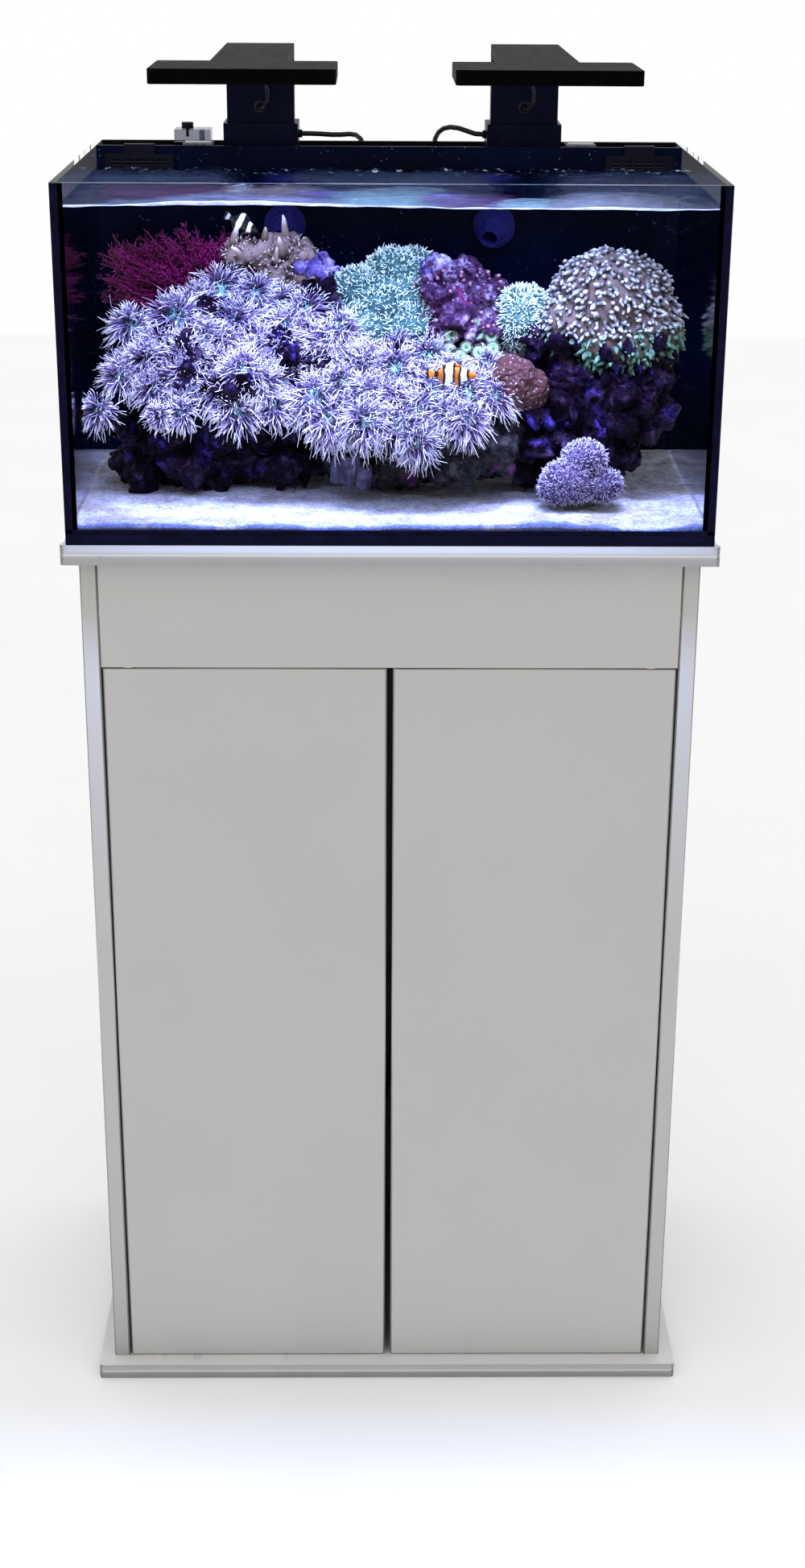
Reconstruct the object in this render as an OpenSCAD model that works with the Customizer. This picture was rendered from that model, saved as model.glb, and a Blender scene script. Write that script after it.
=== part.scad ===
// Glass aquarium with a rear filter chamber and two clamp-on lights, on a two-door cabinet stand.
// Origin: middle of the base board's underside. +X to the viewer's right, +Y to the rear, +Z up.

/* [Stand] */
// Height of the stand, from the floor to the top board's upper face
stand_h = 914; // [880:1:1100]
// Thickness of the top board
top_t = 19; // [15:0.5:30]
// Thickness of the base board
base_t = 16; // [14:0.5:25]
// Thickness of the side panels, the fascia and the doors
panel_t = 16; // [13:0.5:22]
// Thickness of the back panel
back_t = 6; // [3:0.5:10]
// How far the boards stand out past each side panel
side_overhang = 15; // [5:1:30]
// How far the boards stand out in front of the doors
front_overhang = 18; // [5:1:30]
// How far the boards stand out behind the back panel
rear_overhang = 6; // [0:1:20]
// How far the boards stand out past the tank at each side
board_margin = 6; // [0:0.5:15]
// How far the boards stand out in front of the tank
front_margin = 1; // [0:0.5:10]
// How far the boards stand out behind the tank
rear_margin = 3; // [0:0.5:10]
// Radius of the boards' upright corners
board_corner_r = 4; // [2:0.5:8]
// Height of the fascia above the doors
fascia_h = 105; // [60:1:150]
// Height of the stiffening rail under the top board's rear edge
rail_h = 60; // [40:1:90]

/* [Doors] */
// Gap round each door
door_gap = 2; // [1.8:0.1:3]
// Gap between the two doors
centre_gap = 6; // [3:0.5:10]
// Distance of each pivot from its door's hinge edge
pivot_inset = 24; // [22:1:40]
// Radius of the pivot pins
pin_r = 3; // [2.5:0.25:4]
// How far each pivot pin reaches into its door
pin_seat = 25; // [15:1:40]
// Wall of the pivot bushes
bush_wall = 2; // [1.5:0.25:2.5]
// Depth of the pivot bushes in the base board and the fascia
bush_depth = 10; // [8:0.5:11]
// Thickness of the bushes' flanges
bush_flange_t = 1; // [0.5:0.1:1.5]
// Width of each magnetic catch
catch_w = 40; // [25:1:60]
// Running clearance of pins and shafts, on the radius
running_gap = 0.05; // [0.02:0.01:0.1]

/* [Cable cut-out] */
// Width of the cut-out in the back panel
cutout_w = 120; // [90:1:160]
// Height of the cut-out
cutout_h = 60; // [50:1:90]
// Height of the cut-out's middle above the floor
cutout_z = 724; // [720:1:735]

/* [Tank] */
// Outer width of the tank
tank_w = 600; // [580:1:900]
// Outer depth of the tank
tank_d = 378; // [378:1:500]
// Height of the tank, from the mat to the rim
tank_h = 322; // [322:1:450]
// Thickness of the glass walls
glass_t = 6; // [5:0.5:10]
// Thickness of the glass base
base_glass_t = 6; // [5:0.5:12]
// Thickness of the levelling mat
mat_t = 4; // [2:0.5:8]
// Leg of the silicone seals in the front upright corners
seal_w = 4; // [3:0.5:12]
// Leg of the silicone seals along the base
base_seal_w = 3; // [2:0.5:5]
// Depth of the rear filter chamber, front to back
chamber_d = 48; // [46:1:60]
// Thickness of the divider and the baffles
acrylic_t = 4; // [3:0.5:6]
// Depth of the sand bed
sand_h = 12; // [5:1:30]

/* [Overflow and baskets] */
// Width of each overflow grille
grille_w = 68; // [50:1:90]
// Height of each overflow grille
grille_h = 27; // [18:1:40]
// Distance from the rim down to the grilles' upper edge
grille_drop = 8; // [6:1:20]
// Distance from each side pane to its grille
grille_inset = 9; // [8:1:30]
// Length of each slot in a grille
slot_w = 9.5; // [6:0.5:14]
// Height of each slot in a grille
slot_h = 2; // [1.5:0.25:3]
// Bar left between two slots
slot_bar = 1.6; // [1.2:0.1:3]
// Width of each media basket
basket_w = 30; // [24:1:50]
// Height of the media baskets
basket_h = 200; // [100:5:230]
// Wall of the media baskets
basket_wall = 2; // [1.5:0.25:3]
// Width of the way that water takes above or below a baffle
baffle_way = 45; // [30:1:70]

/* [Return pumps and nozzles] */
// Distance of each nozzle from the tank's middle
nozzle_x = 106; // [80:1:120]
// Distance from the rim down to the nozzles' axis
nozzle_drop = 77; // [70:1:120]
// Radius of the swivelling nozzle ball
ball_r = 15; // [14.5:0.25:16]
// Radius of the nozzle's spout
spout_r = 9.5; // [7:0.5:9.5]
// Radius of the hole through the nozzle
flow_r = 8; // [4:0.5:8]
// Length of the spout, from the ball's middle
spout_len = 26; // [20:1:32]
// Tilt of the spouts away from straight ahead
nozzle_tilt = 24; // [0:1:26]
// Turn of the tilt from straight down, towards the viewer's left
nozzle_turn = 35; // [-180:1:180]
// Width of each return pump
pump_w = 64; // [50:1:70]
// Depth of each return pump, front to back
pump_d = 38; // [30:1:40]
// Height of each return pump
pump_h = 56; // [40:1:80]
// Inner radius of the pump hoses
hose_r = 8; // [7:0.5:9]
// Wall of the pump hoses
hose_wall = 3; // [2:0.5:3.5]

/* [Lights] */
// Middle of the left light
left_light_x = -130; // [-135:1:-120]
// Middle of the right light
right_light_x = 136; // [120:1:136]
// Width of each light's head
head_w = 163; // [120:1:200]
// Depth of each light's head, front to back
head_d = 105; // [80:1:140]
// Thickness of each head and its arm
head_t = 13; // [11:0.5:20]
// Clear height between the rim and the heads
head_clear = 83; // [75:1:150]
// Width of each arm and column
column_w = 68; // [50:1:72]
// Depth of each column, front to back
column_d = 20; // [14:0.5:22]
// Wall of the clamp bracket's sleeve beside the column
sleeve_wall = 3.5; // [2.5:0.25:6]
// Wall of the sleeve behind the column, next to the rear pane
sleeve_back = 7; // [5:0.5:10]
// Height of the clamp bracket above the rim
bracket_rise = 20; // [16:1:30]
// Depth of the clamp bracket's sleeve below the rim
bracket_drop = 35; // [20:1:45]
// Thickness of the clamp bracket's rear leg
leg_t = 10; // [8:0.5:14]
// Travel of the clamp pad
pad_travel = 2.5; // [1:0.25:4]
// Radius of the clamp screw
screw_r = 4; // [3:0.25:5]
// Radius of the clamp screw's knob
knob_r = 13; // [9:0.5:16]

/* [Hidden] */
$fn = 48;
cut = 1;              // how far a cutting shape runs past a face
board_w = tank_w + 2 * board_margin;
board_d = tank_d + front_margin + rear_margin;
under_top = stand_h - top_t;
cabinet_w = board_w - 2 * side_overhang;
cabinet_front = -board_d / 2 + front_overhang;
cabinet_rear = board_d / 2 - rear_overhang;
opening_w = cabinet_w - 2 * panel_t;
fascia_z = under_top - fascia_h;
door_z = base_t + door_gap;
door_h = fascia_z - door_gap - door_z;
door_w = opening_w / 2 - centre_gap / 2 - door_gap;
pivot_x = opening_w / 2 - door_gap - pivot_inset;
pivot_y = cabinet_front + panel_t / 2;
bush_r = pin_r + bush_wall;
flange_r = bush_r + 2;
pin_spare = 1;        // free depth below and above the pins' tips
strike_t = 0.95;
strike_h = 16;
catch_d = 14;
catch_reach = 22;     // how far each catch hangs below the fascia
catch_seat = 18;      // how far it runs up the fascia
catch_x = centre_gap / 2 + catch_w / 2 + 6;
strike_inset = 4;

tank_front = -board_d / 2 + front_margin;
tank_rear = tank_front + tank_d;
inner_x = tank_w / 2 - glass_t;
tank_z = stand_h + mat_t;
glass_z = tank_z + base_glass_t;
rim_z = tank_z + tank_h;
rear_inner = tank_rear - glass_t;
divider_rear = rear_inner - chamber_d;
divider_front = divider_rear - acrylic_t;
chamber_y = (divider_rear + rear_inner) / 2;

grille_x = inner_x - grille_inset - grille_w / 2;
grille_z = rim_z - grille_drop - grille_h;
grille_t = 3;
grille_frame = 3;
slot_columns = floor((grille_w - 2 * grille_frame) / (slot_w + slot_bar));
slot_rows = floor((grille_h - 2 * grille_frame) / (slot_h + slot_bar));
hook_w = 30;
hook_t = 1.5;

bracket_w = column_w + 2 * sleeve_wall;
column_y = rear_inner - sleeve_back - column_d / 2;
side_gap = 4;         // between a bracket and the basket beside it
basket_x = right_light_x + bracket_w / 2 + side_gap + basket_w / 2;
basket_z = rim_z - basket_h;
basket_lip_t = 2;
pad_gap = 0.2;
drain_r = 2.5;
drain_pitch = 7;
pad_t = 9;            // floss pad, standing against the basket's front wall
over_x = right_light_x + bracket_w / 2 - acrylic_t / 2;
under_x = basket_x + basket_w / 2 + side_gap + acrylic_t / 2;

nozzle_z = rim_z - nozzle_drop;
ball_y = divider_front - 13;
ring_front = ball_y - 5;
ring_r = ball_r + 6;
ring_nose_r = ball_r + 1.5;
ring_skirt = 8;
spigot_r = ball_r + 2.5;
flange_y = divider_front - 3;
pipe_r = 11;
socket_gap = 0.08;
elbow_drop = 20;
barb_len = 15;
pump_z = glass_z + 3;
hose_z0 = pump_z + pump_h + 5;
hose_z1 = nozzle_z - elbow_drop + barb_len - 10;
outlet_h = 25;
foot_r = 7;

head_z = rim_z + head_clear;
arm_rear = column_y + column_d / 2;
sleeve_floor = 3;
column_z = rim_z - bracket_drop + sleeve_floor;
sleeve_front = column_y - column_d / 2 - 6;
lens_margin = 10;
lens_t = 2;
led_t = 2;
led_recess = 8;
led_r = 4;
led_raise = 1.5;
clamp_z = rim_z - 25;
leg_front = tank_rear + 4.5 + pad_travel;
leg_rear = leg_front + leg_t;
nose_r = screw_r - 0.5;
pad_r = 11;
pad_slack = 0.1;      // left between the backed-off pad and the leg
pad_back = leg_front - pad_travel - pad_slack;
nose_seat = 0.6;
nose_y = pad_back - nose_seat;
shank_y = leg_front + 0.4;  // where the screw's full width starts
knob_t = 12;
knob_notch_r = 4;
knob_y = leg_rear + 1;
gland_len = 4;
gland_r = 4;
gland_z = rim_z + 9;
lead_r = 2;
lead_z = head_z - 47;
lead_seat = 8;        // depth of the lead's hole in the column
grommet_r = 5;
grommet_section_r = 1.6;

holder_x = -200;
holder_w = 37;
holder_front = rear_inner - 16;
holder_rear = tank_rear + 8;
holder_h = 12;
basket_gap = 3;       // between a basket and the divider or the sensor holder
basket_front = divider_rear + basket_gap;
basket_rear = holder_front - basket_gap;
basket_y = (basket_front + basket_rear) / 2;
basket_d = basket_rear - basket_front;
holder_leg = 18;
holder_screw_x = holder_x - 6;
holder_screw_r = 2;
holder_pinch = 6;     // leg of the holder inside the rear pane
probe_r = 3;

adapter = [110, 52, 34];
adapter_x = 95;
adapter_y = 60;
cord_r = 2.5;
cord_sides = 10;

// Routes of the lights' cords: out of the bracket and over the rim (heights above the rim), in
// through the cut-out (heights above its middle), down to the base board and round to the adapters.
LEFT_ROUTE_OVER = [
  [-80, 165, 9], [-70, 167, 8.5], [-59, 170.5, 7.5], [-49, 176, 7], [-41, 183, 7],
  [-34.5, 190.5, 5.5], [-29.5, 197.5, 1], [-26, 203, -7], [-24, 206, -18], [-22.5, 206.5, -37],
  [-17, 205, -100], [-8, 203.5, -200], [0, 202, -300], [6, 201, -380]
];
LEFT_ROUTE_THROUGH = [
  [9, 200, 81], [11, 198, 52], [12, 193, 30], [12, 185, 14], [12, 175, 1], [12, 165, -11],
  [12, 157, -27]
];
LEFT_ROUTE_DOWN = [
  [12, 153, 674], [9, 150, 380], [7, 150, 220], [2, 149, 168], [-8, 146, 125], [-24, 140, 84],
  [-46, 132, 48], [-74, 124, 25], [-108, 116, 18.7], [-160, 108, 18.6], [-212, 86, 18.6],
  [-232, 40, 18.6], [-212, -8, 18.6], [-164, -30, 18.6], [-124, -24, 19.5], [-104, -4, 23],
  [-96, 18, 27], [-95, 34, 28]
];
LEFT_ROUTE = concat(
  [[left_light_x + bracket_w / 2 + gland_len, column_y, gland_z]],
  raised(LEFT_ROUTE_OVER, rim_z), raised(LEFT_ROUTE_THROUGH, cutout_z), LEFT_ROUTE_DOWN
);
RIGHT_ROUTE_OVER = [
  [87, 165, 9.5], [79, 166.5, 12], [70.5, 170, 14.5], [62, 175.5, 15], [55.5, 182, 13],
  [50.5, 189, 8.5], [47.5, 195.5, 2], [46, 201, -6.5], [45.5, 204.5, -18], [45.5, 205.5, -37],
  [45, 205, -100], [43, 203.5, -200], [40, 202, -300], [38, 201, -380]
];
RIGHT_ROUTE_THROUGH = [
  [37, 200, 81], [36, 198, 52], [36, 193, 30], [36, 185, 14], [36, 175, 1], [37, 165, -11],
  [38, 157, -27]
];
RIGHT_ROUTE_DOWN = [
  [40, 153, 674], [54, 150, 380], [62, 150, 220], [67, 149, 168], [74, 146, 125], [84, 141, 84],
  [98, 134, 48], [117, 126, 26], [142, 117, 18.8], [182, 103, 18.6], [219, 76, 18.6],
  [230, 32, 18.6], [208, -10, 18.6], [162, -30, 18.6], [124, -24, 19.5], [104, -4, 23],
  [96, 18, 27], [95, 34, 28]
];
RIGHT_ROUTE = concat(
  [[right_light_x - bracket_w / 2 - gland_len, column_y, gland_z]],
  raised(RIGHT_ROUTE_OVER, rim_z), raised(RIGHT_ROUTE_THROUGH, cutout_z), RIGHT_ROUTE_DOWN
);
// Lead of a light, from the arm's underside to the grommet in the column's front, as places
// beside the middle, in front of the column and above the grommet
LEAD_ROUTE = [
  [0, -18, 47], [0.5, -18, 38], [4, -18.5, 28], [8, -18, 17], [7.5, -16, 6],
  [3, -12, -1], [0, -7, -1.5], [0, 0, 0]
];
// Rocks and corals: middle above the tank's floor and size of each mound
ROCKS = [
  [[-165, -35, 38], [205, 150, 120]], [[-155, 20, 116], [170, 120, 140]],
  [[40, -55, 42], [180, 140, 100]], [[25, 15, 111], [150, 110, 150]],
  [[198, -25, 71], [140, 130, 165]], [[-245, -75, 51], [60, 60, 110]]
];
CORALS = [
  [[-180, -50, 148], [200, 110, 130]], [[-245, -80, 94], [80, 80, 110]],
  [[10, -95, 98], [200, 80, 105]], [[-8, -10, 180], [110, 80, 100]],
  [[76, -25, 182], [86, 70, 76]], [[124, -30, 166], [36, 50, 60]],
  [[118, -85, 116], [62, 50, 54]], [[205, -40, 178], [150, 110, 122]],
  [[183, -128, 42], [80, 50, 60]], [[-212, 55, 198], [124, 40, 66]],
  [[-122, 35, 226], [76, 50, 54]], [[-32, -95, 38], [28, 24, 46]]
];

// ---- shapes that repeat ----

// Plate centred on the Z axis, with round upright corners, standing on z = 0
module rounded_plate(w, d, t, r) {
  linear_extrude(t) {
    square([w - 2 * r, d], center = true);
    square([w, d - 2 * r], center = true);
    for (x = [-1, 1], y = [-1, 1])
      translate([x * (w / 2 - r), y * (d / 2 - r)]) circle(r);
  }
}

// Box from its lowest to its highest corner
module span(low, high) {
  translate(low) cube(high - low);
}

module along_x(r, x0, x1) {
  translate([x0, 0, 0]) rotate([0, 90, 0]) cylinder(r = r, h = x1 - x0);
}

module along_y(r, y0, y1) {
  translate([0, y0, 0]) rotate([-90, 0, 0]) cylinder(r = r, h = y1 - y0);
}

module along_z(r, z0, z1) {
  translate([0, 0, z0]) cylinder(r = r, h = z1 - z0);
}

module on_right() {
  mirror([1, 0, 0]) children();
}

module at_both_sides(x) {
  for (s = [-1, 1]) translate([s * x, 0, 0]) children();
}

function unit(v) = v / norm(v);
function raised(p, z) = [for (q = p) q + [0, 0, z]];
function heading(p, i) = unit(p[min(i + 1, len(p) - 1)] - p[max(i - 1, 0)]);
function square_to(v, t) = unit(v - (v * t) * t);
function first_side(t) = square_to(abs(t.z) < 0.9 ? [0, 0, 1] : [0, 1, 0], t);
function sides_along(p) = [
  for (i = 0, s = first_side(heading(p, 0)); i < len(p);
       i = i + 1, s = square_to(s, heading(p, min(i, len(p) - 1)))) s
];

// Round tube along a list of points, with one ring at each point
module swept_tube(p, r, n) {
  side = sides_along(p);
  rings = [for (i = [0:len(p) - 1], k = [0:n - 1])
    p[i] + r * (cos(360 * k / n) * side[i] + sin(360 * k / n) * cross(heading(p, i), side[i]))];
  walls = [for (i = [0:len(p) - 2], k = [0:n - 1])
    [i * n + k, (i + 1) * n + k, (i + 1) * n + (k + 1) % n, i * n + (k + 1) % n]];
  start_cap = [[for (k = [0:n - 1]) k]];
  end_cap = [[for (k = [n - 1:-1:0]) (len(p) - 1) * n + k]];
  polyhedron(points = rings, faces = concat(start_cap, walls, end_cap));
}

// Egg-shaped mound
module mound(place, size) {
  translate(place + [0, 0, glass_z]) scale(size / 2) sphere(1, $fn = 22);
}

// ---- stand ----

module bush_bores(z0, z1) {
  at_both_sides(pivot_x) translate([0, pivot_y, 0]) along_z(bush_r, z0, z1);
}

module base_board() {
  color("#dcdad6") difference() {
    rounded_plate(board_w, board_d, base_t, board_corner_r);
    bush_bores(base_t - bush_depth, base_t + cut);
  }
}

module top_board() {
  color("#e0deda") translate([0, 0, under_top])
    rounded_plate(board_w, board_d, top_t, board_corner_r);
}

module side_panel_left() {
  color("#c6c5c1")
    span([-cabinet_w / 2, cabinet_front, base_t], [-opening_w / 2, cabinet_rear, under_top]);
}

module side_panel_right() {
  on_right() side_panel_left();
}

module cable_cutout() {
  straight = cutout_w / 2 - cutout_h / 2;
  translate([0, 0, cutout_z]) {
    for (s = [-1, 1]) translate([s * straight, 0, 0])
      along_y(cutout_h / 2, cabinet_rear - back_t - cut, cabinet_rear + cut);
    span([-straight, cabinet_rear - back_t - cut, -cutout_h / 2],
         [straight, cabinet_rear + cut, cutout_h / 2]);
  }
}

module back_panel() {
  color("#b9b8b4") difference() {
    span([-opening_w / 2, cabinet_rear - back_t, base_t],
         [opening_w / 2, cabinet_rear, under_top]);
    cable_cutout();
  }
}

module fascia_panel() {
  color("#bcbbb7") difference() {
    span([-opening_w / 2, cabinet_front, fascia_z],
         [opening_w / 2, cabinet_front + panel_t, under_top]);
    bush_bores(fascia_z - cut, fascia_z + bush_depth);
  }
}

module rear_rail() {
  color("#c2c1bd")
    span([-opening_w / 2, cabinet_rear - back_t - panel_t, under_top - rail_h],
         [opening_w / 2, cabinet_rear - back_t, under_top]);
}

// One flanged bush, its flange's face at z = 0 and its body below
module bush() {
  difference() {
    union() {
      along_z(flange_r, -bush_flange_t, 0);
      along_z(bush_r, -bush_flange_t - bush_depth, -bush_flange_t);
    }
    along_z(pin_r + running_gap, -bush_flange_t - bush_depth - cut, cut);
  }
}

module pivot_bushes() {
  color("#b59a58") at_both_sides(pivot_x) {
    translate([0, pivot_y, base_t + bush_flange_t]) bush();
    translate([0, pivot_y, fascia_z - bush_flange_t]) mirror([0, 0, 1]) bush();
  }
}

module door_catches() {
  face = cabinet_front + panel_t;
  color("#8f8f8d") at_both_sides(catch_x) {
    span([-catch_w / 2, face + strike_t + running_gap, fascia_z - catch_reach],
         [catch_w / 2, face + catch_d, fascia_z + catch_seat]);
    span([-catch_w / 2, face, fascia_z], [catch_w / 2, face + catch_d, fascia_z + catch_seat]);
  }
}

module door_left() {
  color("#c4c3bf") difference() {
    span([-opening_w / 2 + door_gap, cabinet_front, door_z],
         [-centre_gap / 2, cabinet_front + panel_t, door_z + door_h]);
    translate([-pivot_x, pivot_y, 0]) {
      along_z(pin_r, door_z - cut, door_z + pin_seat);
      along_z(pin_r, door_z + door_h - pin_seat, door_z + door_h + cut);
    }
  }
}

module door_right() {
  on_right() door_left();
}

// Pivot pins, the lower one with the collar that carries the door, and the catch's strike plate
module door_hardware_left() {
  face = cabinet_front + panel_t;
  strike_z = fascia_z - catch_reach + 2;
  color("#a9abad") {
    translate([-pivot_x, pivot_y, 0]) {
      along_z(pin_r, base_t - bush_depth + pin_spare, door_z + pin_seat);
      along_z(flange_r - 1, base_t + bush_flange_t + running_gap, door_z);
      along_z(pin_r, door_z + door_h - pin_seat, fascia_z + bush_depth - pin_spare);
    }
    span([-catch_x - catch_w / 2 + strike_inset, face, strike_z],
         [-catch_x + catch_w / 2 - strike_inset, face + strike_t, strike_z + strike_h]);
  }
}

module door_hardware_right() {
  on_right() door_hardware_left();
}

// ---- tank ----

module levelling_mat() {
  color("#161719") span([-tank_w / 2, tank_front, stand_h], [tank_w / 2, tank_rear, tank_z]);
}

module tank_base() {
  color("#20262c") span([-tank_w / 2, tank_front, tank_z], [tank_w / 2, tank_rear, glass_z]);
}

module front_glass() {
  color("#bcd6e4", 0.35)
    span([-inner_x, tank_front, glass_z], [inner_x, tank_front + glass_t, rim_z]);
}

module rear_glass() {
  color("#31404c", 0.5) span([-inner_x, rear_inner, glass_z], [inner_x, tank_rear, rim_z]);
}

module side_glass_left() {
  color("#bcd6e4", 0.35)
    span([-tank_w / 2, tank_front, glass_z], [-inner_x, tank_rear, rim_z]);
}

module side_glass_right() {
  on_right() side_glass_left();
}

// Three-sided bead of silicone in an upright corner, towards +X and +Y from the corner
module corner_bead(w) {
  translate([0, 0, glass_z]) linear_extrude(rim_z - glass_z) polygon([[0, 0], [w, 0], [0, w]]);
}

module corner_seals() {
  front = tank_front + glass_t;
  color("#0d0e10") {
    translate([-inner_x, front, 0]) corner_bead(seal_w);
    translate([inner_x, front, 0]) rotate([0, 0, 90]) corner_bead(seal_w);
    translate([-inner_x, rear_inner, 0]) rotate([0, 0, -90]) corner_bead(base_seal_w);
    translate([inner_x, rear_inner, 0]) rotate([0, 0, 180]) corner_bead(base_seal_w);
    translate([-inner_x, front, glass_z]) rotate([90, 0, 90])
      linear_extrude(2 * inner_x) polygon([[0, 0], [base_seal_w, 0], [0, base_seal_w]]);
    for (s = [0, 1]) mirror([s, 0, 0])
      translate([-inner_x, divider_front, glass_z]) rotate([90, 0, 0])
        linear_extrude(divider_front - front) polygon([[0, 0], [base_seal_w, 0], [0, base_seal_w]]);
  }
}

module grille_opening(x) {
  edge = grille_frame;
  span([x - grille_w / 2 + edge, divider_front - cut, grille_z + edge],
       [x + grille_w / 2 - edge, divider_rear + cut, grille_z + grille_h - edge]);
}

module divider_wall() {
  color("#0b0d12") difference() {
    span([-inner_x, divider_front, glass_z], [inner_x, divider_rear, rim_z]);
    for (s = [-1, 1]) {
      grille_opening(s * grille_x);
      translate([s * nozzle_x, 0, nozzle_z])
        along_y(pipe_r, divider_front - cut, divider_rear + cut);
    }
  }
}

// Water falls under the outer baffle of each pair and rises over the inner one
module chamber_baffles() {
  color("#0b0d12") {
    for (s = [-1, 1]) {
      span([s * under_x - acrylic_t / 2, divider_rear, glass_z + baffle_way],
           [s * under_x + acrylic_t / 2, rear_inner, rim_z - holder_leg - 1]);
      span([s * over_x - acrylic_t / 2, divider_rear, glass_z],
           [s * over_x + acrylic_t / 2, rear_inner, rim_z - bracket_drop - baffle_way / 3]);
    }
  }
}

// ---- overflow, baskets, pumps and nozzles ----

module overflow_grille(x) {
  y = divider_front - grille_t;
  color("#15171b") translate([x, 0, 0]) {
    difference() {
      span([-grille_w / 2, y, grille_z], [grille_w / 2, divider_front, grille_z + grille_h]);
      for (i = [0:slot_columns - 1], j = [0:slot_rows - 1])
        translate([(i - (slot_columns - 1) / 2) * (slot_w + slot_bar), 0,
                   grille_z + grille_h / 2 + (j - (slot_rows - 1) / 2) * (slot_h + slot_bar)])
          span([-slot_w / 2, y - cut, -slot_h / 2], [slot_w / 2, divider_front + cut, slot_h / 2]);
    }
    span([-hook_w / 2, y, grille_z + grille_h], [hook_w / 2, divider_front, rim_z]);
    span([-hook_w / 2, y, rim_z], [hook_w / 2, divider_rear + hook_t, rim_z + hook_t]);
    span([-hook_w / 2, divider_rear, rim_z - 8],
         [hook_w / 2, divider_rear + hook_t, rim_z]);
  }
}

module overflow_grille_left() {
  overflow_grille(-grille_x);
}

module overflow_grille_right() {
  overflow_grille(grille_x);
}

// Flange, spigot and elbow that bring the pump's water through the divider
module bulkhead(x) {
  color("#17191d") translate([x, 0, nozzle_z]) difference() {
    union() {
      along_y(ring_r + 1, flange_y, divider_front);
      along_y(spigot_r, ball_y, flange_y);
      along_y(pipe_r, divider_front, chamber_y + pipe_r);
      translate([0, chamber_y, 0]) along_z(hose_r, -elbow_drop - barb_len, 0);
    }
    translate([0, ball_y, 0]) sphere(ball_r + socket_gap);
    along_y(hose_r - 2, ball_y, chamber_y);
    translate([0, chamber_y, 0]) along_z(hose_r - 2, -elbow_drop - barb_len - cut, 0);
  }
}

module bulkhead_left() {
  bulkhead(-nozzle_x);
}

module bulkhead_right() {
  bulkhead(nozzle_x);
}

module nozzle_ring(x) {
  color("#1d2025") translate([x, 0, nozzle_z]) difference() {
    union() {
      along_y(ring_r, flange_y - ring_skirt, flange_y - 0.3);
      translate([0, flange_y - ring_skirt, 0]) rotate([90, 0, 0])
        cylinder(r1 = ring_r, r2 = ring_nose_r, h = flange_y - ring_skirt - ring_front);
    }
    along_y(spigot_r + running_gap, ball_y - 0.3, flange_y);
    translate([0, ball_y, 0]) sphere(ball_r + socket_gap);
    along_y(ball_r - 2, ring_front - cut, ball_y);
  }
}

module nozzle_ring_left() {
  nozzle_ring(-nozzle_x);
}

module nozzle_ring_right() {
  nozzle_ring(nozzle_x);
}

module nozzle_ball(x) {
  color("#23272d") translate([x, ball_y, nozzle_z])
    rotate([0, nozzle_turn, 0]) rotate([nozzle_tilt, 0, 0]) difference() {
      union() {
        sphere(ball_r);
        along_y(spout_r, -spout_len, 0);
      }
      along_y(flow_r, -spout_len - cut, ball_r + cut);
    }
}

module nozzle_ball_left() {
  nozzle_ball(-nozzle_x);
}

module nozzle_ball_right() {
  nozzle_ball(nozzle_x);
}

module return_pumps() {
  color("#1c1e22") at_both_sides(nozzle_x) translate([0, chamber_y, 0]) {
    translate([0, 0, pump_z]) rounded_plate(pump_w, pump_d, pump_h, 6);
    for (x = [-1, 1]) translate([x * pump_w / 3, 0, 0]) along_z(foot_r, glass_z, pump_z);
    along_z(hose_r, pump_z + pump_h, pump_z + pump_h + outlet_h);
  }
}

module pump_hoses() {
  color("#2a2d31") at_both_sides(nozzle_x) translate([0, chamber_y, 0]) difference() {
    along_z(hose_r + hose_wall, hose_z0, hose_z1 - barb_len);
    along_z(hose_r, hose_z0 - cut, hose_z1 - barb_len + cut);
  }
}

// Open basket that hangs by its lip on the divider
module media_basket(x) {
  color("#6d7278") translate([x, basket_y, 0]) difference() {
    union() {
      span([-basket_w / 2, -basket_d / 2, basket_z], [basket_w / 2, basket_d / 2, rim_z]);
      span([-basket_w / 2, divider_front + 1 - basket_y, rim_z],
           [basket_w / 2, basket_d / 2, rim_z + basket_lip_t]);
    }
    span([-basket_w / 2 + basket_wall, -basket_d / 2 + basket_wall, basket_z + basket_wall],
         [basket_w / 2 - basket_wall, basket_d / 2 - basket_wall, rim_z + basket_lip_t + cut]);
    for (i = [-1:1], j = [-1:1])
      translate([i * drain_pitch, j * drain_pitch, 0])
        along_z(drain_r, basket_z - cut, basket_z + basket_wall + cut);
  }
}

module media_basket_left() {
  media_basket(-basket_x);
}

module media_basket_right() {
  media_basket(basket_x);
}

module filter_pad(x) {
  w = basket_w / 2 - basket_wall - pad_gap;
  front = basket_front + basket_wall + pad_gap;
  color("#d9dcdf") translate([x, 0, 0])
    span([-w, front, basket_z + basket_wall + pad_gap], [w, front + pad_t, rim_z + basket_lip_t + 1]);
}

module filter_pad_left() {
  filter_pad(-basket_x);
}

module filter_pad_right() {
  filter_pad(basket_x);
}

// ---- lights ----

module led_recess_box(h) {
  span([-head_w / 2 + lens_margin, tank_front + lens_margin, head_z - cut],
       [head_w / 2 - lens_margin, tank_front + head_d - lens_margin, head_z + h]);
}

module light_head(x) {
  color("#131417") translate([x, 0, 0]) difference() {
    union() {
      translate([0, tank_front + head_d / 2, head_z]) rounded_plate(head_w, head_d, head_t, 3);
      span([-column_w / 2, tank_front + head_d - 5, head_z],
           [column_w / 2, arm_rear, head_z + head_t]);
    }
    led_recess_box(led_recess);
  }
}

module light_head_left() {
  light_head(left_light_x);
}

module light_head_right() {
  light_head(right_light_x);
}

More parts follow.
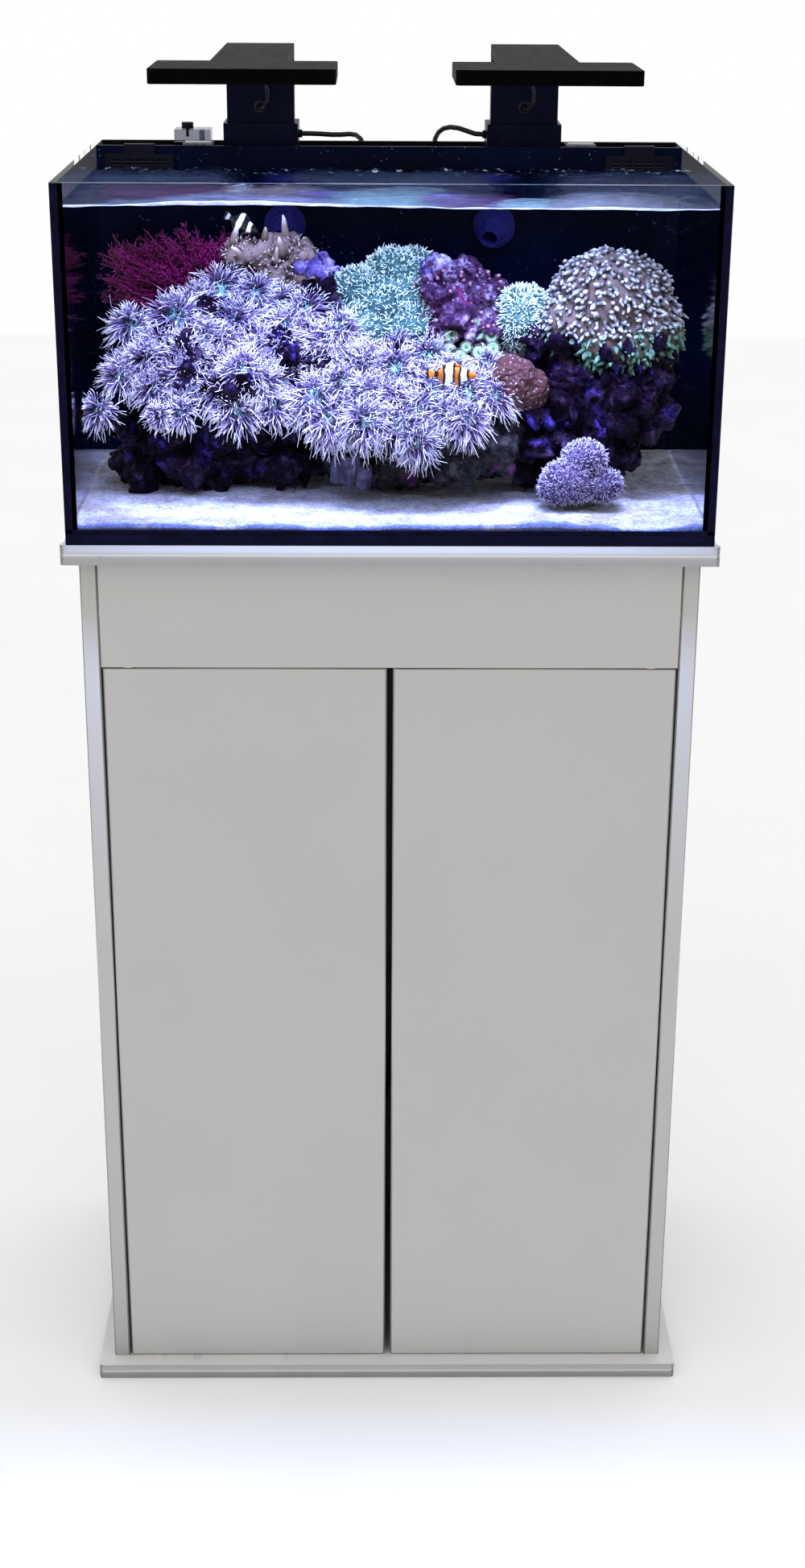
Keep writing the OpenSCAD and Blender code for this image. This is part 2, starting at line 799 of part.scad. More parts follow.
module led_board(x) {
  w = head_w / 2 - lens_margin;
  board_z = head_z + led_recess - led_t;
  color("#e9ecef") translate([x, 0, 0]) {
    span([-w, tank_front + lens_margin, board_z],
         [w, tank_front + head_d - lens_margin, board_z + led_t]);
    for (i = [-1.5:1.5], j = [-1:1])
      translate([i * (w / 2.4), tank_front + head_d / 2 + j * (head_d / 4.2), 0])
        along_z(led_r, board_z - led_raise, board_z);
  }
}

module led_board_left() {
  led_board(left_light_x);
}

module led_board_right() {
  led_board(right_light_x);
}

module light_lens(x) {
  color("#c9def5", 0.5) translate([x, 0, 0])
    span([-head_w / 2 + lens_margin, tank_front + lens_margin, head_z],
         [head_w / 2 - lens_margin, tank_front + head_d - lens_margin, head_z + lens_t]);
}

module light_lens_left() {
  light_lens(left_light_x);
}

module light_lens_right() {
  light_lens(right_light_x);
}

module light_column(x) {
  front = column_y - column_d / 2;
  color("#101114") translate([x, 0, 0]) difference() {
    translate([0, column_y, column_z])
      rounded_plate(column_w, column_d, head_z - column_z, 2);
    translate([0, 0, lead_z]) along_y(lead_r, front - cut, front + lead_seat);
  }
}

module light_column_left() {
  light_column(left_light_x);
}

module light_column_right() {
  light_column(right_light_x);
}

// Short lead with its grommet ring
module head_lead(x) {
  front = column_y - column_d / 2;
  color("#0a0a0c") translate([x, front, lead_z]) {
    swept_tube(LEAD_ROUTE, lead_r, 8);
    rotate([90, 0, 0]) rotate_extrude() translate([grommet_r, 0]) intersection() {
      circle(grommet_section_r);
      translate([-grommet_r / 2, 0]) square([grommet_r, grommet_r]);
    }
  }
}

module head_lead_left() {
  head_lead(left_light_x);
}

module head_lead_right() {
  head_lead(right_light_x);
}

// Sleeve for the column, bridge over the rim and rear leg for the clamp screw.
// gland is 1 where the cord leaves to the right, and -1 where it leaves to the left.
module clamp_bracket(x, gland) {
  half = bracket_w / 2;
  fit_w = column_w / 2 + running_gap;
  fit_d = column_d / 2 + running_gap;
  bridge_z = rim_z + bracket_rise;
  color("#0f1013") translate([x, 0, 0]) difference() {
    union() {
      span([-half, sleeve_front, rim_z - bracket_drop], [half, rear_inner, bridge_z]);
      span([-half, rear_inner, rim_z], [half, leg_rear, bridge_z]);
      span([-half, leg_front, rim_z - bracket_drop - 10], [half, leg_rear, rim_z]);
      translate([0, column_y, gland_z]) along_x(gland_r, gland > 0 ? half - 1 : -half - gland_len,
                                                gland > 0 ? half + gland_len : -half + 1);
    }
    span([-fit_w, column_y - fit_d, column_z], [fit_w, column_y + fit_d, bridge_z + cut]);
    translate([0, 0, clamp_z]) along_y(screw_r, leg_front - cut, leg_rear + cut);
  }
}

module clamp_bracket_left() {
  clamp_bracket(left_light_x, 1);
}

module clamp_bracket_right() {
  clamp_bracket(right_light_x, -1);
}

module clamp_pad(x) {
  color("#1a1b1e") translate([x, 0, clamp_z]) difference() {
    union() {
      along_y(pad_r, tank_rear + running_gap, tank_rear + 2);
      along_y(nose_r + 3, tank_rear + 2, pad_back);
    }
    along_y(nose_r + running_gap, nose_y - pad_travel - pad_slack, pad_back + cut);
  }
}

module clamp_pad_left() {
  clamp_pad(left_light_x);
}

module clamp_pad_right() {
  clamp_pad(right_light_x);
}

module clamp_screw(x) {
  lobes = 6;
  color("#1f2024") translate([x, 0, clamp_z]) {
    along_y(nose_r, nose_y, shank_y);
    along_y(screw_r - running_gap, shank_y, knob_y);
    difference() {
      along_y(knob_r, knob_y, knob_y + knob_t);
      for (i = [0:lobes - 1]) rotate([0, 360 / lobes * (i + 0.5), 0])
        translate([knob_r + 2, 0, 0]) along_y(knob_notch_r, knob_y - cut, knob_y + knob_t + cut);
    }
  }
}

module clamp_screw_left() {
  clamp_screw(left_light_x);
}

module clamp_screw_right() {
  clamp_screw(right_light_x);
}

// ---- sensor holder on the rear pane ----

module sensor_holder() {
  half = holder_w / 2;
  top = rim_z + holder_h;
  color("#dfe6ea", 0.6) translate([holder_x, 0, 0]) difference() {
    union() {
      span([-half, holder_front, rim_z], [half, holder_rear, top]);
      span([-half, rear_inner - holder_pinch, rim_z - holder_leg], [half, rear_inner, rim_z]);
      span([-half, tank_rear, rim_z - holder_leg], [half, holder_rear, rim_z]);
    }
    translate([holder_screw_x - holder_x, rear_inner, 0]) along_z(holder_screw_r, top - 8, top + cut);
    translate([9, holder_front + 8, 0]) along_z(probe_r, rim_z - cut, top + cut);
  }
}

module holder_screw() {
  top = rim_z + holder_h;
  color("#17181a") translate([holder_screw_x, rear_inner, 0]) {
    along_z(holder_screw_r - running_gap, top - 7, top + 0.3);
    along_z(6, top + 0.3, top + 6);
  }
}

// ---- sand, rocks and corals ----

module sand_bed() {
  edge = max(seal_w / 2, base_seal_w) + 0.3;
  color("#e3e2ea") span([-inner_x + edge, tank_front + glass_t + edge, glass_z],
                        [inner_x - edge, divider_front - edge, glass_z + sand_h]);
}

module above_base() {
  intersection() {
    children();
    span([-inner_x, tank_front + glass_t, glass_z], [inner_x, divider_front, rim_z]);
  }
}

module reef_rocks() {
  color("#3a2d3f") above_base() union() {
    for (m = ROCKS) mound(m[0], m[1]);
  }
}

module corals() {
  color("#b6b3cf") above_base() union() {
    for (m = CORALS) mound(m[0], m[1]);
  }
}

// ---- cords and adapters ----

module light_cord_left() {
  color("#0b0b0d") swept_tube(LEFT_ROUTE, cord_r, cord_sides);
}

module light_cord_right() {
  color("#0b0b0d") swept_tube(RIGHT_ROUTE, cord_r, cord_sides);
}

module power_adapters() {
  color("#141518") at_both_sides(adapter_x)
    translate([0, adapter_y, base_t]) rounded_plate(adapter.x, adapter.y, adapter.z, 6);
}

base_board();
top_board();
side_panel_left();
side_panel_right();
back_panel();
fascia_panel();
rear_rail();
pivot_bushes();
door_catches();
door_left();
door_right();
door_hardware_left();
door_hardware_right();
levelling_mat();
tank_base();
front_glass();
rear_glass();
side_glass_left();
side_glass_right();
corner_seals();
divider_wall();
chamber_baffles();
overflow_grille_left();
overflow_grille_right();
bulkhead_left();
bulkhead_right();
nozzle_ring_left();
nozzle_ring_right();
nozzle_ball_left();
nozzle_ball_right();
return_pumps();
pump_hoses();
media_basket_left();
media_basket_right();
filter_pad_left();
filter_pad_right();
light_head_left();
light_head_right();
led_board_left();
led_board_right();
light_lens_left();
light_lens_right();
light_column_left();
light_column_right();
head_lead_left();
head_lead_right();
clamp_bracket_left();
clamp_bracket_right();
clamp_pad_left();
clamp_pad_right();
clamp_screw_left();
clamp_screw_right();
sensor_holder();
holder_screw();
sand_bed();
reef_rocks();
corals();
light_cord_left();
light_cord_right();
power_adapters();
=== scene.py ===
import math

import bpy
import bmesh
import numpy as np
from mathutils import Matrix, Vector, noise


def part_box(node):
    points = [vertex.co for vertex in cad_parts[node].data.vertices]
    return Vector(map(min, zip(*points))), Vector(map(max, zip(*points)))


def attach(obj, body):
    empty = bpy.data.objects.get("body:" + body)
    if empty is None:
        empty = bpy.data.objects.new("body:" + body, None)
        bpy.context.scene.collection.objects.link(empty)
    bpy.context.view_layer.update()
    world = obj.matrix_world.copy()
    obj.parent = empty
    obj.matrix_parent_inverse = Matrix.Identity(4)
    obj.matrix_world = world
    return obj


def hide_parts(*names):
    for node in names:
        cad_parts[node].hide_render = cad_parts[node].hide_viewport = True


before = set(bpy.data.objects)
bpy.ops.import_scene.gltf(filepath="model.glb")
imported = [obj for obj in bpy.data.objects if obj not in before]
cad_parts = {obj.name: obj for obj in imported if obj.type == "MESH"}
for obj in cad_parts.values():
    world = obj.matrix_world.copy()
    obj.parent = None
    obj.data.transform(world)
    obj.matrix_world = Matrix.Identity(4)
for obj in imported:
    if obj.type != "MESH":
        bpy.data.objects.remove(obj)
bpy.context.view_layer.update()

MAIN = "tank_and_stand"
SIDES = ("left", "right")
WATER_LEVEL = 1.219
CHANCE = np.random.default_rng(11)


# ---- camera ----

def set_camera():
    """Stands 2.3 m off, a little above the lights, and looks down by 21 degrees."""
    pitch, yaw, roll = 0.3686, 0.0141, -0.0062
    data = bpy.data.cameras.new("camera")
    data.lens, data.sensor_width = 53.09, 36.0
    data.clip_start, data.clip_end = 0.1, 60.0
    camera = bpy.data.objects.new("camera", data)
    bpy.context.scene.collection.objects.link(camera)
    ahead = Vector((math.sin(yaw) * math.cos(pitch), math.cos(yaw) * math.cos(pitch), -math.sin(pitch)))
    camera.location = (-0.0169, -2.2644, 1.4794)
    camera.rotation_mode = "QUATERNION"
    camera.rotation_quaternion = ahead.to_track_quat("-Z", "Y") @ Matrix.Rotation(-roll, 3, "Z").to_quaternion()
    bpy.context.scene.camera = camera


set_camera()


# ---- finishes ----

class Wire:
    """A shader value that takes part in ordinary sums."""

    def __init__(self, finish, socket):
        self.finish, self.socket = finish, socket

    def sum(self, operation, first, second):
        return self.finish.node("ShaderNodeMath", {"operation": operation}, {0: first, 1: second})

    def __add__(self, other):
        return self.sum("ADD", self, other)

    def __sub__(self, other):
        return self.sum("SUBTRACT", self, other)

    def __rsub__(self, other):
        return self.sum("SUBTRACT", other, self)

    def __mul__(self, other):
        return self.sum("MULTIPLY", self, other)

    def __gt__(self, other):
        return self.sum("GREATER_THAN", self, other)

    __radd__, __rmul__ = __add__, __mul__


class Finish:
    """One finish of the aquarium, as a material with its shader."""

    def __init__(self, name, slot=None, **fixed):
        self.slot = slot or name
        self.material = bpy.data.materials.new(name)
        self.material.use_nodes = True
        self.tree = self.material.node_tree
        self.shader = self.tree.nodes["Principled BSDF"]
        for label, value in fixed.items():
            self.shader.inputs[label.replace("_", " ")].default_value = value

    def node(self, kind, settings=None, sockets=None, output=0):
        made = self.tree.nodes.new(kind)
        for label, value in (settings or {}).items():
            if label == "stops":
                ramp = made.color_ramp
                while len(ramp.elements) < len(value):
                    ramp.elements.new(0.5)
                for element, (place, colour) in zip(ramp.elements, value):
                    element.position, element.color = place, (*colour, 1)
            else:
                setattr(made, label, value)
        for label, value in (sockets or {}).items():
            if isinstance(value, Wire):
                self.tree.links.new(value.socket, made.inputs[label])
            else:
                made.inputs[label].default_value = value
        return Wire(self, made.outputs[output])

    def feed(self, label, wire):
        self.tree.links.new(wire.socket, self.shader.inputs[label])

    def place(self, stretch=(1, 1, 1)):
        at = self.node("ShaderNodeTexCoord", output="Object")
        return self.node("ShaderNodeMapping", None, {"Vector": at, "Scale": stretch})

    def cloud(self, scale, detail=4.0, rough=0.55, stretch=(1, 1, 1)):
        return self.node("ShaderNodeTexNoise", None,
                         {"Vector": self.place(stretch), "Scale": scale, "Detail": detail, "Roughness": rough})

    def cells(self, scale, feature="F1", output="Distance"):
        return self.node("ShaderNodeTexVoronoi", {"feature": feature}, {"Vector": self.place(), "Scale": scale},
                         output)

    def height(self, axis):
        return self.node("ShaderNodeSeparateXYZ", None, {0: self.place()}, output=axis)

    def point_value(self, name):
        return self.node("ShaderNodeAttribute", {"attribute_name": name}, output="Fac")

    def ramp(self, wire, *stops):
        return self.node("ShaderNodeValToRGB", {"stops": stops}, {"Fac": wire})

    def blend(self, amount, below, above, how="MIX"):
        sockets = {0: amount, 6: below, 7: above}
        for label in (6, 7):
            if isinstance(sockets[label], tuple):
                sockets[label] = (*sockets[label], 1)
        return self.node("ShaderNodeMix", {"data_type": "RGBA", "blend_type": how}, sockets, output=2)

    def mask(self, wire, start, end, first=0.0, last=1.0):
        """Goes from the first to the last brightness between two values of the wire."""
        return self.ramp(wire, (start, even(first)), (end, even(last)))

    def bump(self, wire, depth, strength=1.0):
        return self.node("ShaderNodeBump", None, {"Height": wire, "Distance": depth, "Strength": strength})

    def relief(self, wire, depth, strength=1.0):
        self.feed("Normal", self.bump(wire, depth, strength))

    def main_shader(self):
        return Wire(self, self.shader.outputs[0])

    def mix_surface(self, share, first, second):
        """Shows the second shader by that share over the first."""
        mixed = self.node("ShaderNodeMixShader", None, {0: share, 1: first, 2: second})
        self.tree.links.new(mixed.socket, self.tree.nodes["Material Output"].inputs["Surface"])


def even(tone):
    return tone, tone, tone


def dimmed(colour, share):
    return tuple(part * share for part in colour)


def lacquer(name, colour, worn):
    """Sprayed satin lacquer: faint mottling, orange peel, darker towards the bottom, and scuffs."""
    f = Finish(name, Roughness=0.42, Specular_IOR_Level=0.3)
    mottle = f.cloud(5.0, 5.0)
    base = f.ramp(mottle, (0.3, dimmed(colour, 0.955)), (0.7, colour))
    # Darker towards the bottom: up to about a tenth darker within the lowest 9 cm.
    low_darkening = f.ramp(f.height("Z") + f.cloud(18.0, 6.0) * 0.06, (0.02, even(0.75)), (0.09, even(1.0)))
    base = f.blend(0.35, base, low_darkening, "MULTIPLY")
    scuffs = f.mask(f.cloud(42.0, 8.0, 0.7, (1, 0.25, 1)), 0.62, 0.7)
    base = f.blend(scuffs * worn, base, dimmed(colour, 0.55))
    f.feed("Base Color", base)
    f.feed("Roughness", f.cloud(60.0, 3.0) * 0.16 + 0.34)
    f.relief(f.cloud(700.0, 2.0) + f.cloud(120.0, 2.0) * 0.6, 0.00006, 0.5)
    return f


def dull_black(name, tone, roughness=0.5, grain=900.0, blue=1.15, **fixed):
    """Moulded or anodised black with a fine speckle."""
    f = Finish(name, Roughness=roughness, Specular_IOR_Level=0.05, **fixed)
    speckle = f.cloud(grain, 2.0, 0.8)
    f.feed("Base Color", f.ramp(speckle, (0.35, (tone * 0.6, tone * 0.6, tone * 0.6 * blue)),
                                (0.7, (tone * 1.5, tone * 1.5, tone * 1.5 * blue))))
    f.feed("Roughness", f.cloud(90.0, 3.0) * 0.2 + (roughness - 0.1))
    f.relief(speckle, 0.00008, 0.5)
    return f


def clear(name, tint, roughness=0.0, level=0.02, ior=1.035):
    f = Finish(name, Transmission_Weight=1.0, IOR=ior, Specular_IOR_Level=level, Roughness=roughness)
    f.feed("Base Color", f.ramp(f.cloud(30.0, 3.0), (0.3, dimmed(tint, 0.985)), (0.8, tint)))
    return f


def cast_metal(name, colour, roughness):
    f = Finish(name, Metallic=1.0, Roughness=roughness)
    f.feed("Base Color", f.ramp(f.cloud(60.0, 4.0), (0.3, dimmed(colour, 0.8)), (0.7, colour)))
    f.feed("Roughness", f.cloud(300.0, 2.0, 0.5, (1, 1, 0.05)) * 0.2 + (roughness - 0.08))
    return f


def rubbery(name, tone):
    f = Finish(name, Roughness=0.38, Specular_IOR_Level=0.2)
    f.feed("Base Color", f.ramp(f.cloud(50.0, 4.0), (0.3, even(tone * 0.7)), (0.75, even(tone * 1.5))))
    f.relief(f.cloud(1500.0, 2.0), 0.00004, 0.4)
    return f


BOARD = lacquer("board_lacquer", (0.72, 0.715, 0.705), 0.6)
CABINET = lacquer("cabinet_lacquer", (0.485, 0.478, 0.460), 0.03)
BACKING = lacquer("back_board", (0.52, 0.515, 0.50), 0.1)
ALUMINIUM = dull_black("light_aluminium", 0.0010, 0.5, IOR=1.25)
# Dark anodised aluminium; its navy tint is the reef lamps' blue spill, painted into the colour.
BLUE_LIT_COLUMN = dull_black("column_aluminium", 0.0022, 0.4, 400.0, 6.5)
BLACK = dull_black("black_plastic", 0.008, 0.45, blue=2.0)
# Painted light: the nozzles are a lighter, navy copy of the black plastic, the blue lamp light painted into their
# colour.
BLUE_LIT_NOZZLE = dull_black("nozzle_plastic_blue_lit", 0.020, 0.45, 350.0, 8.0, slot="black_plastic")
PUMP = dull_black("pump_plastic", 0.03, 0.4, 500.0)
HOSE = rubbery("hose_rubber", 0.03)
CORD = rubbery("cord_rubber", 0.012)
SEAL = rubbery("seal_silicone", 0.003)
# Painted light: a navy copy of the seal silicone for the front bands, the blue light on them painted into the colour.
BLUE_LIT_BAND = dull_black("front_silicone", 0.0025, 0.3, 60.0, 8.0, slot="seal_silicone")
FOAM = dull_black("mat_foam", 0.005, 0.9, 300.0, 3.5)
BRASS = cast_metal("bush_brass", (0.70, 0.55, 0.28), 0.3)
STEEL = cast_metal("pin_steel", (0.62, 0.63, 0.64), 0.3)
CATCH = dull_black("catch_plastic", 0.25, 0.5, 200.0)
BASKET = dull_black("basket_plastic", 0.12, 0.5, 250.0)
GLASS = clear("clear_glass", (0.97, 0.985, 0.99))
ACRYLIC = clear("clear_acrylic", (0.22, 0.23, 0.28), 0.2, 0.3, 1.3)
LENS = clear("lens_acrylic", (0.8, 0.88, 1.0), 0.2, 0.5, 1.49)


# ---- making pieces ----

def add_piece(name, points, faces, finish, body, stands_for=(), smooth=True, **values):
    """One mesh piece from points and faces, with its finish, riding on a body."""
    mesh = bpy.data.meshes.new(name)
    mesh.from_pydata([tuple(p) for p in points], [], [tuple(f) for f in faces])
    for label, numbers in values.items():
        mesh.attributes.new(label, "FLOAT", "POINT").data.foreach_set("value", np.asarray(numbers, np.float32))
    return finish_mesh(name, mesh, finish, body, stands_for, smooth)


def finish_mesh(name, mesh, finish, body, stands_for=(), smooth=True):
    mesh.materials.clear()
    mesh.materials.append(finish.material)
    mesh.shade_smooth() if smooth else mesh.shade_flat()
    mesh.update()
    thing = bpy.data.objects.new(name, mesh)
    bpy.context.scene.collection.objects.link(thing)
    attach(thing, body)
    if stands_for:
        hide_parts(*stands_for)
    return thing


def from_bmesh(name, shape, finish, body, stands_for=(), smooth=True):
    bmesh.ops.recalc_face_normals(shape, faces=shape.faces)
    mesh = bpy.data.meshes.new(name)
    shape.to_mesh(mesh)
    shape.free()
    thing = finish_mesh(name, mesh, finish, body, stands_for, smooth)
    if smooth:
        ease = thing.modifiers.new("even_shading", "WEIGHTED_NORMAL")
        ease.keep_sharp = True
    return thing


def plate_outline(low, high, corner, steps=6):
    """Rounded rectangle, counter-clockwise from above."""
    (x0, y0), (x1, y1) = low, high
    line = []
    for cx, cy, turn in ((x1 - corner, y0 + corner, -90), (x1 - corner, y1 - corner, 0),
                         (x0 + corner, y1 - corner, 90), (x0 + corner, y0 + corner, 180)):
        for i in range(steps + 1):
            a = math.radians(turn + 90 * i / steps)
            line.append((cx + corner * math.cos(a), cy + corner * math.sin(a)))
    return line


def raise_outline(shape, outline, low, high):
    """A closed prism of an outline between two heights, in a bmesh."""
    base = [shape.verts.new((x, y, low)) for x, y in outline]
    top = [shape.verts.new((x, y, high)) for x, y in outline]
    shape.faces.new(list(reversed(base)))
    shape.faces.new(top)
    for i in range(len(base)):
        j = (i + 1) % len(base)
        shape.faces.new((base[i], base[j], top[j], top[i]))


def ease_edges(shape, width, segments=2, sharper=50):
    """Rounds every edge that turns by more than that many degrees."""
    shape.edges.ensure_lookup_table()
    edges = [e for e in shape.edges if len(e.link_faces) == 2 and e.calc_face_angle(0) > math.radians(sharper)]
    bmesh.ops.bevel(shape, geom=edges, offset=width, segments=segments, affect="EDGES", profile=0.5)


def node_box(node):
    low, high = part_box(node)
    return tuple(low), tuple(high)


def panel(node, finish, body=MAIN, corner=0.0015, edge=0.0009):
    """A board with rounded upright corners and eased edges, in its CAD node's place."""
    low, high = node_box(node)
    shape = bmesh.new()
    raise_outline(shape, plate_outline(low[:2], high[:2], corner), low[2], high[2])
    ease_edges(shape, edge, 3)
    return from_bmesh(f"{node}_finished", shape, finish, body, [node])


def keep_node(node, finish, edge=0.0005):
    """Carries a CAD node over, with eased edges and its finish."""
    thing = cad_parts[node]
    tidy = thing.modifiers.new("flat_faces", "DECIMATE")
    tidy.decimate_type = "DISSOLVE"
    tidy.angle_limit = math.radians(0.5)
    if edge:
        ease = thing.modifiers.new("eased_edges", "BEVEL")
        ease.width, ease.segments, ease.limit_method = edge, 2, "ANGLE"
        ease.angle_limit = math.radians(40)
        ease.harden_normals = True
    thing.data.materials.clear()
    thing.data.materials.append(finish.material)
    return thing


def sweep(paths, radii, sides=4):
    """Tubes along many lines at once: paths is (tubes, stations, 3), radii (tubes, stations)."""
    paths, radii = np.asarray(paths, float), np.asarray(radii, float)
    count, stations = radii.shape
    along = np.gradient(paths, axis=1)
    along /= np.linalg.norm(along, axis=2, keepdims=True) + 1e-12
    lean = np.cross(along[:, stations // 2], [0.31, 0.87, 0.38])
    lean /= np.linalg.norm(lean, axis=1, keepdims=True) + 1e-12
    across = lean[:, None] - (lean[:, None] * along).sum(2, keepdims=True) * along
    across /= np.linalg.norm(across, axis=2, keepdims=True) + 1e-12
    third = np.cross(along, across)
    turns = np.arange(sides) * 2 * math.pi / sides
    ring = np.cos(turns)[:, None] * across[:, :, None] + np.sin(turns)[:, None] * third[:, :, None]
    points = (paths[:, :, None] + ring * radii[:, :, None, None]).reshape(-1, 3)
    tube, station, side = np.meshgrid(np.arange(count), np.arange(stations - 1), np.arange(sides), indexing="ij")
    start = (tube * stations + station) * sides
    after = (side + 1) % sides
    walls = np.stack([start + side, start + after, start + sides + after, start + sides + side], -1).reshape(-1, 4)
    ends = []
    for k in range(count):
        first = k * stations * sides
        ends.append(tuple(range(first + sides - 1, first - 1, -1)))
        last = first + (stations - 1) * sides
        ends.append(tuple(range(last, last + sides)))
    return points, walls.tolist() + ends


def lathe(shape, profile, centre, axis, turns=48):
    """A turned part in a bmesh: profile is a closed list of (distance along axis, radius)."""
    axis = Vector(axis).normalized()
    side = axis.orthogonal().normalized()
    other = axis.cross(side)
    rings = []
    for i in range(turns):
        a = 2 * math.pi * i / turns
        out = side * math.cos(a) + other * math.sin(a)
        rings.append([shape.verts.new(Vector(centre) + axis * d + out * r) for d, r in profile])
    for i in range(turns):
        here, there = rings[i], rings[(i + 1) % turns]
        for k in range(len(profile)):
            m = (k + 1) % len(profile)
            shape.faces.new((here[k], here[m], there[m], there[k]))


# ---- light cords ----

LEFT_ROUTE = [
    (-88.5, 165, 1249), (-80, 165, 1249), (-70, 167, 1248.5), (-59, 170.5, 1247.5),
    (-49, 176, 1247), (-41, 183, 1247), (-34.5, 190.5, 1245.5), (-29.5, 197.5, 1241),
    (-26, 203, 1233), (-24, 206, 1222), (-22.5, 206.5, 1203), (-17, 205, 1140),
    (-8, 203.5, 1040), (0, 202, 940), (6, 201, 860), (9, 200, 805),
    (11, 198, 776), (12, 193, 754), (12, 185, 738), (12, 175, 725), (12, 165, 713),
    (12, 157, 697), (12, 153, 674), (9, 150, 380),
    (7, 150, 220), (2, 149, 168), (-8, 146, 125), (-24, 140, 84), (-46, 132, 48),
    (-74, 124, 25), (-108, 116, 18.7), (-160, 108, 18.6), (-212, 86, 18.6),
    (-232, 40, 18.6), (-212, -8, 18.6), (-164, -30, 18.6), (-124, -24, 19.5),
    (-104, -4, 23), (-96, 18, 27), (-95, 34, 28),
]
RIGHT_ROUTE = [
    (94.5, 165, 1249), (87, 165, 1249.5), (79, 166.5, 1252), (70.5, 170, 1254.5),
    (62, 175.5, 1255), (55.5, 182, 1253), (50.5, 189, 1248.5), (47.5, 195.5, 1242),
    (46, 201, 1233.5), (45.5, 204.5, 1222), (45.5, 205.5, 1203), (45, 205, 1140),
    (43, 203.5, 1040), (40, 202, 940), (38, 201, 860), (37, 200, 805),
    (36, 198, 776), (36, 193, 754), (36, 185, 738), (36, 175, 725), (37, 165, 713),
    (38, 157, 697), (40, 153, 674), (54, 150, 380),
    (62, 150, 220), (67, 149, 168), (74, 146, 125), (84, 141, 84), (98, 134, 48),
    (117, 126, 26), (142, 117, 18.8), (182, 103, 18.6), (219, 76, 18.6),
    (230, 32, 18.6), (208, -10, 18.6), (162, -30, 18.6), (124, -24, 19.5),
    (104, -4, 23), (96, 18, 27), (95, 34, 28),
]
CORD_RADIUS = 0.0025


def light_cord(side, route, adapter):
    points = [Vector(p) * 0.001 for p in route]
    curve = bpy.data.curves.new(f"light_cord_{side}_laid", "CURVE")
    curve.dimensions, curve.bevel_depth, curve.bevel_resolution = "3D", CORD_RADIUS, 4
    curve.use_fill_caps = True
    spline = curve.splines.new("POLY")
    spline.points.add(len(points) - 1)
    for spot, point in zip(spline.points, points):
        spot.co = (*point, 1)
    spline.use_smooth = True
    thing = bpy.data.objects.new(curve.name, curve)
    bpy.context.scene.collection.objects.link(thing)
    curve.materials.append(CORD.material)
    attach(thing, MAIN)
    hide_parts(f"light_cord_{side}")


def adapter_case(side, sign):
    """Power adapter: rounded case with a parting line and cooling ribs."""
    low, high = node_box("power_adapters")
    width, foot, top = 0.110, low[2], high[2]
    x = sign * (high[0] - width / 2)
    shape = bmesh.new()
    middle = (foot + top) / 2
    for inset, bottom, head in ((0, foot, middle - 0.0004), (0, middle + 0.0004, top),
                                (0.001, middle - 0.0006, middle + 0.0006)):
        raise_outline(shape, plate_outline((x - width / 2 + inset, low[1] + inset),
                                           (x + width / 2 - inset, high[1] - inset), 0.006 - inset), bottom, head)
    ease_edges(shape, 0.0016, 3, 60)
    for i in range(9):
        at = x - 0.036 + 0.009 * i
        raise_outline(shape, plate_outline((at - 0.0012, low[1] + 0.008), (at + 0.0012, high[1] - 0.008), 0.001, 3),
                      top - 0.0012, top - 0.0001)
    return from_bmesh(f"power_adapter_{side}", shape, BLACK, MAIN, ["power_adapters"])


for side_name, side_sign, side_route in (("left", -1, LEFT_ROUTE), ("right", 1, RIGHT_ROUTE)):
    light_cord(side_name, side_route, adapter_case(side_name, side_sign))


# ---- stand ----

def build_stand():
    for node in ("base_board", "top_board"):
        panel(node, BOARD, corner=0.004, edge=0.0016)
    for node in ("side_panel_left", "side_panel_right", "fascia_panel", "rear_rail"):
        panel(node, CABINET)
    for side in SIDES:
        panel(f"door_{side}", CABINET, f"door_{side}", 0.0018, 0.0014)
        keep_node(f"door_hardware_{side}", STEEL, 0.0003)
    keep_node("back_panel", BACKING, 0.0008)
    keep_node("pivot_bushes", BRASS, 0.0003)
    keep_node("door_catches", CATCH, 0.0008)
    keep_node("levelling_mat", FOAM, 0.001)


# ---- tank ----

def edge_glow(name, colour, strength):
    """Cut glass edge with the lights' glow painted in as emission; at no strength it stays dark."""
    f = Finish(name, Roughness=0.25, Emission_Strength=strength)
    streaks = f.cloud(160.0, 4.0, 0.7, (0.15, 1, 1))
    f.feed("Base Color", f.ramp(streaks, (0.3, dimmed(colour, 0.75)), (0.7, colour)))
    # Painted glow: the edge emits light of its own in the lights' colour.
    f.feed("Emission Color", f.ramp(streaks, (0.3, dimmed(colour, 0.5)), (0.75, colour)))
    return f


def side_glass():
    """Clear glass that mirrors the reef where it is looked along, most of all under water."""
    f = clear("side_glass", (0.97, 0.985, 0.99))
    f.slot = "clear_glass"
    tint = f.ramp(f.height("Z"), (0.950, (0.62, 0.66, 0.95)), (0.985, (0.14, 0.19, 0.46)))
    mirror = f.node("ShaderNodeBsdfPrincipled", None, {"Base Color": tint, "Metallic": 1.0, "Roughness": 0.10})
    along = f.node("ShaderNodeLayerWeight", None, {"Blend": 0.5}, output="Facing")
    behind = f.node("ShaderNodeNewGeometry", output="Backfacing")
    share = (along > 0.6) * (1 - behind) * (1 - (f.height("Z") > WATER_LEVEL) * 0.07)
    f.mix_surface(share, f.main_shader(), mirror)
    return f


SIDE_GLASS = side_glass()
# The front pane's top edge glows by emission, a painted glow of the lights.
GLOW_EDGE = edge_glow("painted_glow_edge", (0.55, 0.60, 1.0), 1.1)
DARK_EDGE = edge_glow("dark_edge", (0.02, 0.022, 0.035), 0.0)
FILM = dull_black("rear_film", 0.003, 0.35, 200.0, 2.0, slot="clear_glass")
TANK_BASE = dull_black("base_glass", 0.003, 0.15, 30.0, 7.0)


